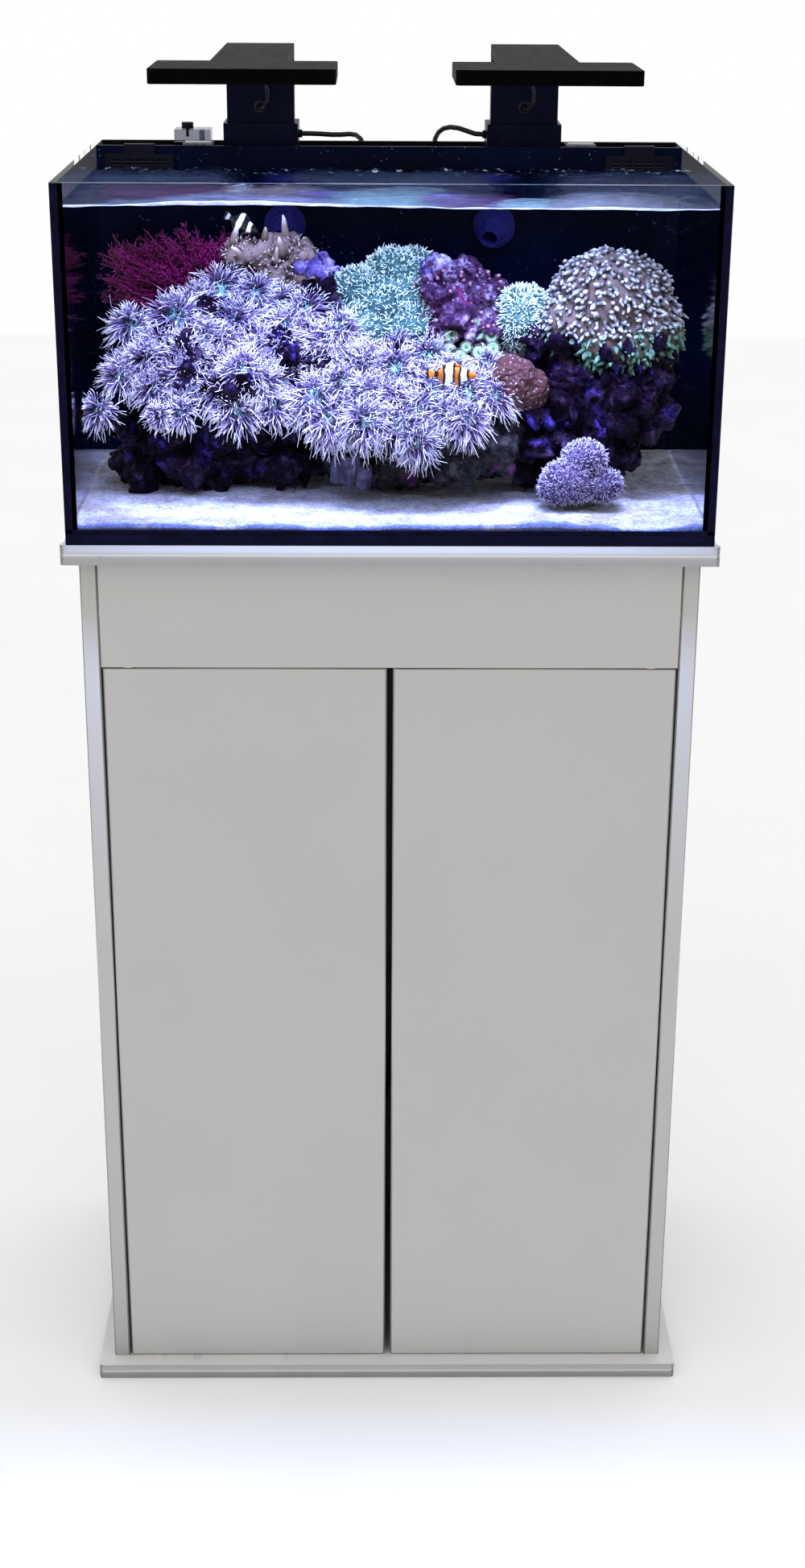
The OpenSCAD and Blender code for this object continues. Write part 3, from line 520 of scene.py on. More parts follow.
def pane(node, edge_finish, film=None, inner=None):
    """Glass pane with fine arrises; its top edge is polished, on the front pane with a painted glow of the lights,
    a film may back it, and its face towards the middle of the tank may have a finish of its own."""
    low, high = node_box(node)
    shape = bmesh.new()
    raise_outline(shape, [(low[0], low[1]), (high[0], low[1]), (high[0], high[1]), (low[0], high[1])],
                  low[2], high[2])
    ease_edges(shape, 0.0005, 1)
    for face in shape.faces:
        face.material_index = 1 if face.calc_center_median()[2] > high[2] - 0.0006 else 0
    thing = from_bmesh(f"{node}_pane", shape, film or GLASS, MAIN, [node], smooth=False)
    thing.data.materials.append(edge_finish.material)
    thing.visible_shadow = False
    if inner:
        thing.data.materials.append(inner.material)
        towards = -1 if low[0] > 0 else 1
        for face in thing.data.polygons:
            if face.normal.x * towards > 0.9:
                face.material_index = 2
    return thing


def corner_seal_beads():
    """Concave black silicone beads in the upright corners."""
    low, high = node_box("corner_seals")
    shape = bmesh.new()

    def bead(corner, along_x, along_y, leg):
        line = [(leg * (1 - math.sin(math.radians(15 * i))), leg * (1 - math.cos(math.radians(15 * i))))
                for i in range(7)]
        outline = [(corner[0], corner[1])] + [(corner[0] + along_x * a, corner[1] + along_y * b) for a, b in line]
        if along_x * along_y < 0:
            outline.reverse()
        raise_outline(shape, outline, low[2], high[2])

    for x, turn in ((low[0], 1), (high[0], -1)):
        bead((x, low[1]), turn, 1, 0.0050)
        bead((x, high[1]), turn, -1, 0.0030)
    return from_bmesh("silicone_seals", shape, SEAL, MAIN, ["corner_seals"])


def front_bands():
    """Black silicone squeezed between the front pane's edges and the side panes."""
    low, high = node_box("front_glass")
    side_low, _ = node_box("side_glass_left")
    shape = bmesh.new()
    for sign in (-1, 1):
        outer = sign * abs(side_low[0])
        a, b = sorted((outer - sign * 0.0003, outer - sign * 0.0072))
        raise_outline(shape, plate_outline((a, low[1] + 0.0002), (b, low[1] + 0.0011), 0.0003, 2),
                      low[2] + 0.0005, high[2] - 0.0008)
    a = abs(side_low[0]) - 0.0003
    raise_outline(shape, plate_outline((-a, low[1] + 0.0002), (a, low[1] + 0.0011), 0.0003, 2),
                  low[2] + 0.0002, low[2] + 0.0044)
    return from_bmesh("front_silicone_bands", shape, BLUE_LIT_BAND, MAIN)


def water_finish():
    """Water seen through: it bends the view of the reef and carries glints of the lights."""
    f = Finish("water", Metallic=1.0, Roughness=0.06, Emission_Strength=5.0)
    f.feed("Base Color", f.ramp(f.cloud(8.0, 3.0), (0.3, (0.08, 0.18, 0.56)), (0.7, (0.17, 0.34, 1.0))))
    ripples = f.cloud(60.0, 5.0, 0.65, (1, 1.8, 1)) + f.cloud(16.0, 2.0) * 1.3
    f.relief(ripples, 0.004, 0.8)
    far = f.mask(f.height("Y") + 0.5, 0.56, 0.60)
    # Painted glints: emissive specks on the far part of the surface stand in for the lights' glints.
    painted_glints = f.ramp(f.cloud(95.0, 5.0, 0.8, (1, 0.5, 1)), (0.60, even(0.0)), (0.66, (0.5, 0.65, 1.0)))
    f.feed("Emission Color", f.blend(1.0, painted_glints, far, "MULTIPLY"))
    bent = f.node("ShaderNodeBsdfRefraction", None, {"Color": (0.84, 0.93, 1.0, 1), "IOR": 1.33,
                                                     "Roughness": 0.03, "Normal": f.bump(ripples, 0.004, 0.8)})
    f.mix_surface(0.24, bent, f.main_shader())
    return f


def bright_line(name, colour, strength):
    """Thin edge of the water against the front pane, its glints painted in as an emissive glow."""
    f = Finish(name, Roughness=0.2, Emission_Strength=strength)
    glints = f.cloud(70.0, 5.0, 0.75, (1, 1, 3))
    f.feed("Base Color", f.ramp(glints, (0.3, dimmed(colour, 0.5)), (0.6, colour)))
    # Painted glow: the meniscus emits light of its own.
    f.feed("Emission Color", f.ramp(glints, (0.36, dimmed(colour, 0.45)), (0.62, colour)))
    return f


WATER = water_finish()
MENISCUS_GLOW = bright_line("meniscus", (0.50, 0.58, 1.0), 1.1)


def water_surface():
    """Rippled skin of the water, a thin open sheet between the panes, with a meniscus tube along the front pane."""
    low, high = node_box("front_glass")
    side, _ = node_box("side_glass_left")
    glass = high[1] - low[1]
    divider, _ = node_box("divider_wall")
    x1 = abs(side[0]) - glass - 0.0003
    y0, y1 = high[1] + 0.0003, divider[1] - 0.0004
    across, deep = 140, 64
    xs, ys = np.linspace(-x1, x1, across), np.linspace(y0, y1, deep)
    points = []
    for y in ys:
        for x in xs:
            lift = noise.fractal(Vector((x * 22, y * 30, 3.0)), 1.0, 2.0, 3) * 0.0011
            swirl = math.exp(-(((x + 0.13) / 0.11) ** 2) - (((y + 0.17) / 0.05) ** 2)) * 0.004
            points.append((x, y, WATER_LEVEL + lift + swirl))
    faces = [(j * across + i, j * across + i + 1, (j + 1) * across + i + 1, (j + 1) * across + i)
             for j in range(deep - 1) for i in range(across - 1)]
    thing = add_piece("water_surface", points, faces, WATER, MAIN)
    thing.visible_shadow = False
    line = np.array(points[:across])
    line[:, 1] += 0.0006
    fat = np.array([0.0005 + 0.0012 * max(0.0, noise.noise(Vector((x * 30, 0.3, 0.0))) + 0.1)
                    + 0.0016 * math.exp(-((x + 0.14) / 0.06) ** 2) for x in line[:, 0]])
    tubes, skin = sweep(line[None], fat[None], 6)
    tubes[:, 1] = np.clip(tubes[:, 1], y0, None)
    rim = add_piece("water_meniscus", tubes, skin, MENISCUS_GLOW, MAIN)
    rim.visible_shadow = False


def build_tank():
    keep_node("tank_base", TANK_BASE, 0.0008)
    pane("front_glass", GLOW_EDGE)
    for side in SIDES:
        pane(f"side_glass_{side}", DARK_EDGE, inner=SIDE_GLASS)
    rear = pane("rear_glass", DARK_EDGE, FILM)
    rear.visible_shadow = True
    corner_seal_beads()
    front_bands()
    water_surface()
    for node in ("divider_wall", "chamber_baffles"):
        keep_node(node, divider_finish(), 0.0004)


def divider_finish():
    """Polished black acrylic with the lamps' blue painted into it as a navy tone, and dotted with specks whose catch
    of the light is painted in as bright blue.
    """
    f = Finish("black_acrylic", Roughness=0.35, Specular_IOR_Level=0.04)
    # Painted blue light: the navy tone stands in for the lamps' blue on the black wall.
    depth = f.ramp(f.cloud(7.0, 4.0), (0.3, (0.0003, 0.0012, 0.006)), (0.75, (0.0008, 0.0045, 0.026)))
    # Painted glints: bright blue specks stand in for motes catching the light.
    mote_glints = f.mask(f.cells(210.0), 0.075, 0.12, 1.0, 0.0)
    few = f.mask(f.cloud(60.0, 3.0, 0.7), 0.48, 0.58)
    f.feed("Base Color", f.blend(f.blend(1.0, mote_glints, few, "MULTIPLY"), depth, (0.25, 0.32, 0.75)))
    return f


# ---- lights, filter parts ----

def sink_recess(shape, level, low, high, depth):
    """Cuts a rectangular pocket upwards into the flat face at the given level."""
    faces = [face for face in shape.faces if abs(face.calc_center_median()[2] - level) < 1e-6]
    rim = {edge for face in faces for edge in face.edges if sum(other in faces for other in edge.link_faces) == 1}
    bmesh.ops.delete(shape, geom=faces, context="FACES_ONLY")
    corners = [(low[0], low[1]), (high[0], low[1]), (high[0], high[1]), (low[0], high[1])]
    mouth = [shape.verts.new((x, y, level)) for x, y in corners]
    roof = [shape.verts.new((x, y, level + depth)) for x, y in corners]
    lip = [shape.edges.new((mouth[i], mouth[(i + 1) % 4])) for i in range(4)]
    bmesh.ops.triangle_fill(shape, use_beauty=True, edges=[*rim, *lip])
    for i in range(4):
        shape.faces.new((mouth[i], mouth[(i + 1) % 4], roof[(i + 1) % 4], roof[i]))
    shape.faces.new(roof)
    bmesh.ops.recalc_face_normals(shape, faces=shape.faces[:])


def build_light(side):
    """Lamp head with an arm, LEDs under a clear lens, and its column, bracket, screw and pad."""
    body = f"light_{side}"
    low, high = node_box(f"light_head_{side}")
    column_low, column_high = node_box(f"light_column_{side}")
    lens_low, lens_high = node_box(f"light_lens_{side}")
    head_rear = low[1] + 0.105
    shape = bmesh.new()
    outline = plate_outline((low[0], low[1]), (high[0], head_rear), 0.004)
    arm = [(column_high[0], head_rear), (column_high[0], high[1]), (column_low[0], high[1]),
           (column_low[0], head_rear)]
    steps = 7
    outline = outline[:2 * steps] + arm + outline[2 * steps:]
    raise_outline(shape, outline, low[2], high[2])
    sink_recess(shape, low[2], (lens_low[0], lens_low[1]), (lens_high[0], lens_high[1]), 0.008)
    ease_edges(shape, 0.0007, 2, 60)
    ribs = 15
    for i in range(ribs):
        at = column_low[0] + (column_high[0] - column_low[0]) * (i + 0.5) / ribs
        raise_outline(shape, plate_outline((at - 0.0009, head_rear + 0.012), (at + 0.0009, high[1] - 0.03), 0.0008, 2),
                      low[2] + 0.0002, low[2] + 0.0004)
    from_bmesh(f"light_head_{side}_shell", shape, ALUMINIUM, body, [f"light_head_{side}"])
    keep_node(f"light_column_{side}", BLUE_LIT_COLUMN, 0.0012)
    keep_node(f"clamp_bracket_{side}", BLUE_LIT_COLUMN, 0.0010)
    keep_node(f"head_lead_{side}", CORD, 0)
    keep_node(f"clamp_screw_{side}", BLACK, 0.0006)
    keep_node(f"clamp_pad_{side}", HOSE, 0.0004)
    keep_node(f"light_lens_{side}", LENS, 0.0003).visible_shadow = False
    keep_node(f"led_board_{side}", LED, 0)


def led_finish():
    f = Finish("led_board", Roughness=0.4, Emission_Strength=6.0)
    dots = f.ramp(f.cells(70.0), (0.10, (1.0, 0.95, 0.6)), (0.16, (0.75, 0.8, 0.9)))
    f.feed("Base Color", dots)
    f.feed("Emission Color", f.ramp(f.cells(70.0), (0.10, (0.45, 0.6, 1.0)), (0.2, (0.02, 0.03, 0.1))))
    return f


LED = led_finish()
FLOSS = Finish("filter_floss", Roughness=0.95)
FLOSS.feed("Base Color", FLOSS.ramp(FLOSS.cloud(400.0, 6.0, 0.8), (0.3, even(0.55)), (0.7, (0.9, 0.92, 0.97))))
FLOSS.relief(FLOSS.cloud(600.0, 5.0, 0.8), 0.0006)


def build_filter():
    for side in SIDES:
        keep_node(f"overflow_grille_{side}", BLACK, 0.0002)
        keep_node(f"bulkhead_{side}", BLACK, 0.0004)
        keep_node(f"nozzle_ring_{side}", BLUE_LIT_NOZZLE, 0.0006)
        keep_node(f"nozzle_ball_{side}", BLUE_LIT_NOZZLE, 0.0004)
        keep_node(f"media_basket_{side}", BASKET, 0.0003)
        keep_node(f"filter_pad_{side}", FLOSS, 0.0015)
    keep_node("return_pumps", PUMP, 0.0015)
    keep_node("pump_hoses", HOSE, 0)
    keep_node("sensor_holder", ACRYLIC, 0.0008)
    keep_node("holder_screw", BLACK, 0.0006)


# ---- reef ----

def grown(name, dark, light, tip=None, below=None):
    """Coral flesh: dark at the root, pale towards the tips, each tentacle a little different.

    below is a height and the colour that the flesh turns to under it."""
    f = Finish(name, "coral", Roughness=0.55, Specular_IOR_Level=0.3)
    reach, kin = f.point_value("reach"), f.point_value("kin")
    colour = f.ramp(reach + (kin - 0.5) * 0.25, (0.08, dark), (0.62, light), (0.97, tip or light))
    if below:
        low = f.ramp(f.height("Z") + f.cloud(30.0, 3.0) * 0.05 - (below[0] + 0.025),
                     (0.0, even(1.0)), (0.018, even(0.0)))
        colour = f.blend(low, colour, f.ramp(reach, (0.1, dark), (0.9, below[1])))
    shade = f.ramp(kin, (0.0, even(0.72)), (1.0, even(1.0)))
    f.feed("Base Color", f.blend(0.9, colour, shade, "MULTIPLY"))
    return f


def stone(name, low, middle, high, spots, relief=0.003):
    """Porous live rock with crusts of coralline colour and painted shade in its pores."""
    f = Finish(name, "live_rock", Roughness=0.7, Specular_IOR_Level=0.08)
    base = f.ramp(f.cloud(45.0, 9.0, 0.75), (0.36, low), (0.53, middle), (0.68, high))
    crust = f.mask(f.cloud(26.0, 8.0, 0.72, (1.3, 1, 1)), 0.56, 0.62)
    # Painted shade: dark spots stand in for the shade inside the rock's small pores.
    pore_shade = f.ramp(f.cells(140.0), (0.12, even(0.15)), (0.4, even(1.0)))
    base = f.blend(crust, base, spots)
    f.feed("Base Color", f.blend(0.85, base, pore_shade, "MULTIPLY"))
    f.relief(f.cloud(60.0, 8.0, 0.75) + f.cells(170.0) * 0.5, relief, 0.9)
    return f


ROCK = stone("live_rock", (0.001, 0.0005, 0.002), (0.006, 0.0025, 0.010),
             (0.050, 0.030, 0.075), (0.030, 0.02, 0.17))
PALE_ROCK = stone("crusted_rock", (0.010, 0.004, 0.016), (0.06, 0.025, 0.07),
                  (0.46, 0.38, 0.66), (0.11, 0.010, 0.07))
GREY_ROCK = stone("grey_rock", (0.004, 0.0035, 0.005), (0.026, 0.024, 0.028),
                  (0.09, 0.085, 0.09), (0.07, 0.012, 0.07))
VIOLET_ROCK = stone("violet_rock", (0.01, 0.006, 0.03), (0.10, 0.07, 0.26),
                    (0.55, 0.50, 0.85), (0.20, 0.14, 0.70))


def lumps(name, balls, finish, stands_for=(), voxel=0.0024, rough=0.15, fine=0.0034, seed=0.0, grain=34.0):
    """Merged, weathered mass from (middle, size) balls in millimetres, kept above the tank base."""
    shape = bmesh.new()
    for middle, size in balls:
        centre, half = Vector(middle) * 0.001, Vector(size) * 0.0005
        for vert in bmesh.ops.create_icosphere(shape, subdivisions=4, radius=1.0)["verts"]:
            out = vert.co.normalized()
            swell = noise.fractal(out * 1.6 + centre * 9 + Vector((seed, 0, 0)), 1.0, 2.0, 4)
            swell = 1 + rough * 2.2 * swell
            vert.co = centre + Vector((out.x * half.x, out.y * half.y, out.z * half.z)) * swell
    mesh = bpy.data.meshes.new(name)
    shape.to_mesh(mesh)
    shape.free()
    thing = bpy.data.objects.new(f"{name}_raw", mesh)
    bpy.context.scene.collection.objects.link(thing)
    weld = thing.modifiers.new("merge", "REMESH")
    weld.mode, weld.voxel_size = "VOXEL", voxel
    merged = bpy.data.meshes.new_from_object(thing.evaluated_get(bpy.context.evaluated_depsgraph_get()))
    bpy.data.objects.remove(thing)
    shape = bmesh.new()
    shape.from_mesh(merged)
    shape.normal_update()
    floor = node_box("sand_bed")[0][2] + 0.001
    for vert in shape.verts:
        bump = noise.turbulence(vert.co * grain + Vector((0, seed, 0)), 4, True, noise_basis="BLENDER")
        pit = noise.cell(vert.co * 90)
        vert.co += vert.normal * ((bump - 0.55) * fine * 4 - pit * fine * 0.35)
    for vert in shape.verts:
        vert.co.z = max(vert.co.z, floor)
    shape.to_mesh(merged)
    shape.free()
    merged.name = name
    return finish_mesh(name, merged, finish, MAIN, stands_for)


def unit(v):
    return v / (np.linalg.norm(v, axis=-1, keepdims=True) + 1e-12)


def hairs(roots, outward, lengths, width, curl, stations=6, sides=4, profile=None, droop=0.0, wild=0.25):
    """Curving tentacles from roots. Returns points, faces and their reach and kin values."""
    count = len(roots)
    outward = unit(outward + CHANCE.normal(0, wild, (count, 3)))
    bend = unit(np.cross(outward, CHANCE.normal(0, 1, (count, 3)))) * CHANCE.normal(0, curl, (count, 1))
    wave = unit(np.cross(outward, CHANCE.normal(0, 1, (count, 3)))) * CHANCE.normal(0, curl * 0.5, (count, 1))
    t = np.linspace(0, 1, stations)[None, :, None]
    sag = np.array([0, 0, -1.0]) * droop
    step = outward[:, None] * t + bend[:, None] * t ** 2 + wave[:, None] * np.sin(t * 5) * 0.3 + sag * t ** 2
    paths = roots[:, None] + step * lengths[:, None, None]
    if profile is None:
        profile = np.interp(np.linspace(0, 1, stations), [0, 0.2, 0.8, 1], [1.2, 1.0, 0.75, 0.45])
    radii = np.asarray(profile)[None] * np.reshape(width, (-1, 1)) * np.ones((count, 1))
    points, faces = sweep(paths, radii, sides)
    reach = np.tile(np.repeat(np.linspace(0, 1, stations), sides), count)
    kin = np.repeat(CHANCE.random(count), stations * sides)
    return points, faces, reach, kin


def gather(parts):
    """Joins several (points, faces, reach, kin) sets into one."""
    points, faces, reach, kin, start = [], [], [], [], 0
    for p, f, r, k in parts:
        points.append(p)
        faces.extend([tuple(i + start for i in face) for face in f])
        reach.append(r)
        kin.append(k)
        start += len(p)
    return np.concatenate(points), faces, np.concatenate(reach), np.concatenate(kin)


def grow(name, grown_parts, finish):
    """A piece from (points, faces, reach, kin), kept inside the tank."""
    points, faces, reach, kin = grown_parts
    return add_piece(name, keep_in_tank(points), faces, finish, MAIN, reach=reach, kin=kin)


def keep_in_tank(points):
    """Holds grown tips inside the glass, above the base and below the water."""
    low, high = node_box("sand_bed")
    return np.clip(points, (low[0] + 0.001, low[1] + 0.001, low[2] + 0.001),
                   (high[0] - 0.001, high[1] + 0.004, WATER_LEVEL - 0.006))


def head_of_tentacles(x, y, z, radius, facing, count):
    """One flower-like polyp: tentacles round a small disc, the outer ones folding back."""
    facing = unit(np.array(facing, float))
    side = unit(np.cross(facing, [0.2, 0.1, 1.0]))
    up = np.cross(side, facing)
    centre = np.array([x, y, z]) * 0.001
    radius = radius * 0.001
    spread = np.sqrt(CHANCE.random(count)) * 0.9 + 0.1
    turn = CHANCE.random(count) * 2 * math.pi
    ring = side * np.cos(turn)[:, None] + up * np.sin(turn)[:, None]
    roots = centre + ring * (spread * radius * 0.36)[:, None] - facing * (spread ** 2 * radius * 0.25)[:, None]
    outward = ring * (0.25 + 1.25 * spread)[:, None] + facing * (1.15 - 0.75 * spread)[:, None]
    lengths = radius * CHANCE.uniform(0.55, 0.92, count)
    return hairs(roots, outward, lengths, CHANCE.uniform(0.00036, 0.00052, count), 0.45, stations=6,
                 sides=3, droop=0.25, wild=0.22)


FLOWERS_LEFT = [
    (-274, -102, 1021, 20), (-255, -79, 1049, 21), (-248, -43, 1090, 24), (-195, -69, 1060, 34),
    (-158, -86, 1041, 31), (-196, -104, 1020, 18), (-132, -70, 1059, 26), (-99, -83, 1044, 23),
    (-204, -37, 1097, 32), (-163, -9, 1119, 29), (-130, -15, 1115, 25), (-148, -40, 1094, 28),
    (-94, -46, 1087, 29), (-81, -30, 1104, 25), (-67, -57, 1074, 28), (-119, -57, 1074, 27),
    (-233, -69, 1060, 24), (-223, -88, 1037, 21), (-144, -102, 1021, 24), (-70, -95, 1030, 32),
    (-57, -108, 1013, 27), (-27, -108, 1013, 24), (-177, -51, 1080, 26), (-216, -105, 1018, 14),
    (-185, -22, 1108, 26), (-110, -100, 1025, 20), (-222, -58, 1074, 24), (-102, -22, 1108, 22),
    (-54, -64, 1080, 24), (-42, -70, 1066, 22), (-138, -92, 1056, 25), (-120, -96, 1046, 22), (-46, -60, 1092, 20),
]
FLOWERS_MIDDLE = [
    (-32, -77, 1051, 31), (-11, -94, 1032, 25), (-23, -76, 1062, 23), (4, -82, 1056, 28),
    (36, -73, 1066, 24), (90, -78, 1061, 18), (42, -99, 1039, 30), (72, -101, 1037, 29),
    (98, -102, 1036, 22), (72, -119, 1016, 23), (26, -112, 1024, 26), (-23, -119, 1014, 27),
    (7, -121, 1011, 25), (26, -127, 997, 21), (-23, -101, 1037, 23), (4, -104, 1034, 22),
    (55, -115, 1021, 21), (57, -86, 1053, 21), (87, -89, 1050, 18), (-45, -90, 1046, 22),
]


TOWARDS_GLASS = np.array([0, -0.75, 0.25])
LEFT_MIDDLE, RIGHT_MIDDLE = np.array([-150.0, 20.0, 1010.0]), np.array([30.0, 0.0, 1000.0])


def scattered_flowers(balls, count, radius):
    """Extra polyps over the upper and front skin of a bed, in millimetres."""
    roots, outs = on_ellipsoids(balls, count)
    shown = (outs[:, 1] < 0.45) & (outs[:, 2] > -0.25) & ((roots[:, 0] < 0.035) | (roots[:, 2] < 1.04))
    sizes = CHANCE.uniform(0.85, 1.25, len(roots)) * radius
    return [(*(1000 * at + out), size) for at, out, size in zip(roots[shown], outs[shown], sizes[shown])]


def flower_cluster(name, flowers, middle, finish, lush=1.0):
    """A bed of polyps facing away from the cluster's middle."""
    parts = []
    for x, y, z, radius in flowers:
        away = unit(np.array([x, y, z], float) - middle)
        facing = away + TOWARDS_GLASS
        count = int(60 + radius * 5.5)
        parts.append(head_of_tentacles(*(np.array([x, y, z]) + 4 * away), radius * lush, facing, count))
    return grow(name, gather(parts), finish)


def flower_discs(name, flowers, middle, finish):
    """The polyps' mouths: small dished discs, each on a stalk."""
    shape = bmesh.new()
    for x, y, z, radius in flowers:
        away = unit(unit(np.array([x, y, z], float) - middle) + TOWARDS_GLASS)
        centre, size = Vector((x, y, z)) * 0.001, radius * 0.001
        profile = [(-0.75 * size, 0.0004), (-0.70 * size, 0.16 * size), (-0.25 * size, 0.20 * size),
                   (0.0, 0.36 * size), (0.06 * size, 0.34 * size), (0.04 * size, 0.16 * size),
                   (0.09 * size, 0.06 * size), (0.09 * size, 0.0003)]
        lathe(shape, profile, centre, Vector(away), 14)
    return from_bmesh(name, shape, finish, MAIN)


def on_ellipsoids(balls, count, cut_below=None):
    """Points and outward directions spread over the open skin of (middle, size) ellipsoids, in metres."""
    roots, outs = [], []
    sizes = [np.prod(np.array(s, float)[[0, 2]]) for _, s in balls]
    for k, (middle, size) in enumerate(balls):
        n = int(count * sizes[k] / sum(sizes))
        golden = np.arange(n) + 0.5
        tall, turn = 1 - 2 * golden / n, golden * math.pi * (1 + 5 ** 0.5)
        flat = np.sqrt(1 - tall ** 2)
        ball = np.stack([flat * np.cos(turn), flat * np.sin(turn), tall], 1)
        half = np.array(size) * 0.0005
        at = ball * half + np.array(middle) * 0.001
        out = unit(ball / half)
        keep = np.ones(n, bool)
        for j, (other, other_size) in enumerate(balls):
            if j != k:
                inside = (((at - np.array(other) * 0.001) / (np.array(other_size) * 0.0005)) ** 2).sum(1)
                keep &= inside > 0.93
        if cut_below is not None:
            keep &= at[:, 2] > cut_below * 0.001
        roots.append(at[keep])
        outs.append(out[keep])
    return np.concatenate(roots), np.concatenate(outs)


def star_polyps(name, balls, count, finish, length=0.0056, width=0.00056, cut_below=None):
    """Domes carpeted with short star-shaped polyps."""
    roots, outs = on_ellipsoids(balls, count, cut_below)
    roots += CHANCE.normal(0, 0.0007, roots.shape)
    parts = []
    for _ in range(2):
        lean = unit(outs + CHANCE.normal(0, 0.5, outs.shape))
        parts.append(hairs(roots, lean, CHANCE.uniform(0.6, 1.15, len(roots)) * length,
                           CHANCE.uniform(0.7, 1.3, len(roots)) * width, 0.3, stations=4, sides=3))
    return grow(name, gather(parts), finish)


STAR_BALLS = [((-4, 14, 1108), (92, 84, 66)), ((22, 20, 1130), (54, 58, 46)), ((-22, -8, 1084), (76, 74, 46)),
              ((18, -12, 1086), (60, 60, 44)), ((-34, 6, 1116), (48, 50, 44)), ((2, 8, 1136), (46, 50, 40)),
              ((-4, -16, 1106), (44, 44, 36)), ((38, 8, 1112), (34, 44, 40))]
STAR_RIGHT = [((124, -30, 1094), (46, 56, 62)), ((132, -26, 1108), (38, 44, 34))]
HAMMER_BALLS = [((212, -22, 1112), (112, 96, 92)), ((184, -30, 1092), (84, 78, 66)), ((240, -30, 1086), (76, 76, 78)),
                ((214, -42, 1076), (104, 66, 58))]
BRAIN_BALLS = [((114, -82, 1044), (44, 50, 58)), ((132, -78, 1038), (42, 48, 42)), ((110, -86, 1030), (40, 40, 32)),
               ((122, -84, 1052), (34, 40, 34))]
SPIKY_BALLS = [((172, -118, 959), (52, 44, 36)), ((184, -114, 979), (36, 36, 30)), ((203, -116, 954), (30, 34, 26)),
               ((160, -118, 952), (34, 36, 26))]
ZOA_ROCK = [((58, -16, 1108), (52, 56, 62)), ((84, -12, 1114), (52, 52, 52)), ((98, -22, 1094), (42, 46, 54)),
            ((72, -36, 1082), (70, 46, 44)), ((44, -6, 1124), (36, 40, 34))]
LEFT_ROCK = [((-165, -14, 972), (196, 100, 80)), ((-215, -26, 972), (70, 76, 70)), ((-240, -34, 970), (44, 52, 78)),
             ((-130, -30, 1020), (160, 120, 90)), ((-190, -30, 1040), (120, 100, 90)),
             ((-150, 10, 1080), (110, 90, 80)), ((-75, -30, 1050), (90, 100, 90)),
             ((-90, -34, 966), (100, 60, 52)), ((-74, 0, 1098), (50, 60, 60))]
FLOWER_BED = [((-165, -45, 1046), (160, 76, 60)), ((-140, -12, 1080), (100, 66, 44)),
              ((-215, -56, 1045), (80, 56, 56)), ((-84, -38, 1058), (76, 66, 54)), ((-70, -74, 1024), (74, 36, 32))]
MIDDLE_BED = [((20, -80, 1028), (140, 50, 42)), ((-20, -80, 1020), (74, 54, 44)), ((60, -80, 1026), (84, 46, 40)),
              ((0, -40, 1044), (100, 56, 52))]
MIDDLE_ROCK = [((78, -72, 980), (104, 70, 64)), ((50, -68, 972), (60, 66, 44)), ((104, -66, 988), (56, 60, 56)),
               ((10, -40, 985), (130, 90, 90)), ((60, -30, 1030), (120, 80, 80)), ((-30, -44, 965), (50, 50, 44)),
               ((20, 0, 1060), (130, 70, 70))]
RIGHT_ROCK = [((190, -50, 1020), (110, 90, 90)), ((232, -50, 1030), (66, 70, 66)), ((232, -60, 1000), (52, 50, 44)),
              ((158, -60, 1000), (50, 56, 90)), ((190, -36, 980), (96, 80, 60)), ((160, -34, 960), (60, 60, 50)),
              ((200, -30, 1070), (120, 80, 60)), ((212, -70, 962), (36, 30, 34)), ((150, -30, 1050), (60, 60, 80))]
VIOLET_BALLS = [((-68, 16, 1118), (34, 40, 46)), ((-54, 20, 1104), (36, 40, 40)), ((46, 4, 1134), (30, 30, 26))]
GORGONIAN_AT = ((-202, 34, 1112), (126, 40, 60))
LEATHER_BALLS = [((-122, 30, 1142), (56, 40, 34)), ((-96, 28, 1144), (44, 36, 36)), ((-144, 26, 1148), (38, 34, 28)),
                 ((-108, 24, 1126), (50, 34, 30)), ((-84, 22, 1128), (34, 30, 34))]


FLOWER = grown("flower_polyps", (0.022, 0.010, 0.04), (0.22, 0.17, 0.36), (0.95, 0.93, 1.0))
# Painted shade: a darker copy of the flower polyps' colours for the scattered polyps among and behind them.
SHADED_FLOWER = grown("shaded_flower_polyps", (0.02, 0.01, 0.03), (0.13, 0.09, 0.21), (0.55, 0.50, 0.72))
STAR = grown("star_polyps", (0.03, 0.08, 0.08), (0.62, 0.88, 0.80), (1.0, 1.0, 0.98))
HAMMER = grown("hammer_polyps", (0.012, 0.007, 0.007), (0.11, 0.10, 0.10), (0.42, 0.43, 0.46),
               (1.080, (0.10, 0.22, 0.15)))
SPIKY = grown("needle_polyps", (0.015, 0.008, 0.035), (0.17, 0.13, 0.30), (0.78, 0.72, 0.95))
GORGONIAN = grown("sea_fan", (0.030, 0.0008, 0.014), (0.17, 0.004, 0.075), (0.42, 0.022, 0.22))
LEATHER = grown("leather_coral", (0.08, 0.05, 0.04), (0.30, 0.22, 0.19), (0.85, 0.74, 0.70))


def flesh(name, low, high, scale=40.0, relief=0.0015):
    f = Finish(name, "coral", Roughness=0.6, Specular_IOR_Level=0.15)
    f.feed("Base Color", f.ramp(f.cloud(scale, 6.0, 0.7), (0.35, low), (0.65, high)))
    f.relief(f.cloud(scale * 3, 4.0), relief)
    return f


def hammer_coral():
    """Bean-ended tentacles packed over a broad dome."""
    roots, outs = on_ellipsoids(HAMMER_BALLS, 4000)
    count = len(roots)
    roots = roots + CHANCE.normal(0, 0.0014, roots.shape)
    profile = [0.9, 1.0, 1.5, 2.3, 2.5, 1.9, 0.7]
    swell = CHANCE.uniform(0.8, 1.2, count) * 0.00092
    stems = hairs(roots - outs * 0.002, outs, CHANCE.uniform(0.007, 0.0105, count), swell, 0.5,
                  stations=7, sides=5, profile=profile, droop=0.3, wild=0.85)
    grow("hammer_coral", stems, HAMMER)


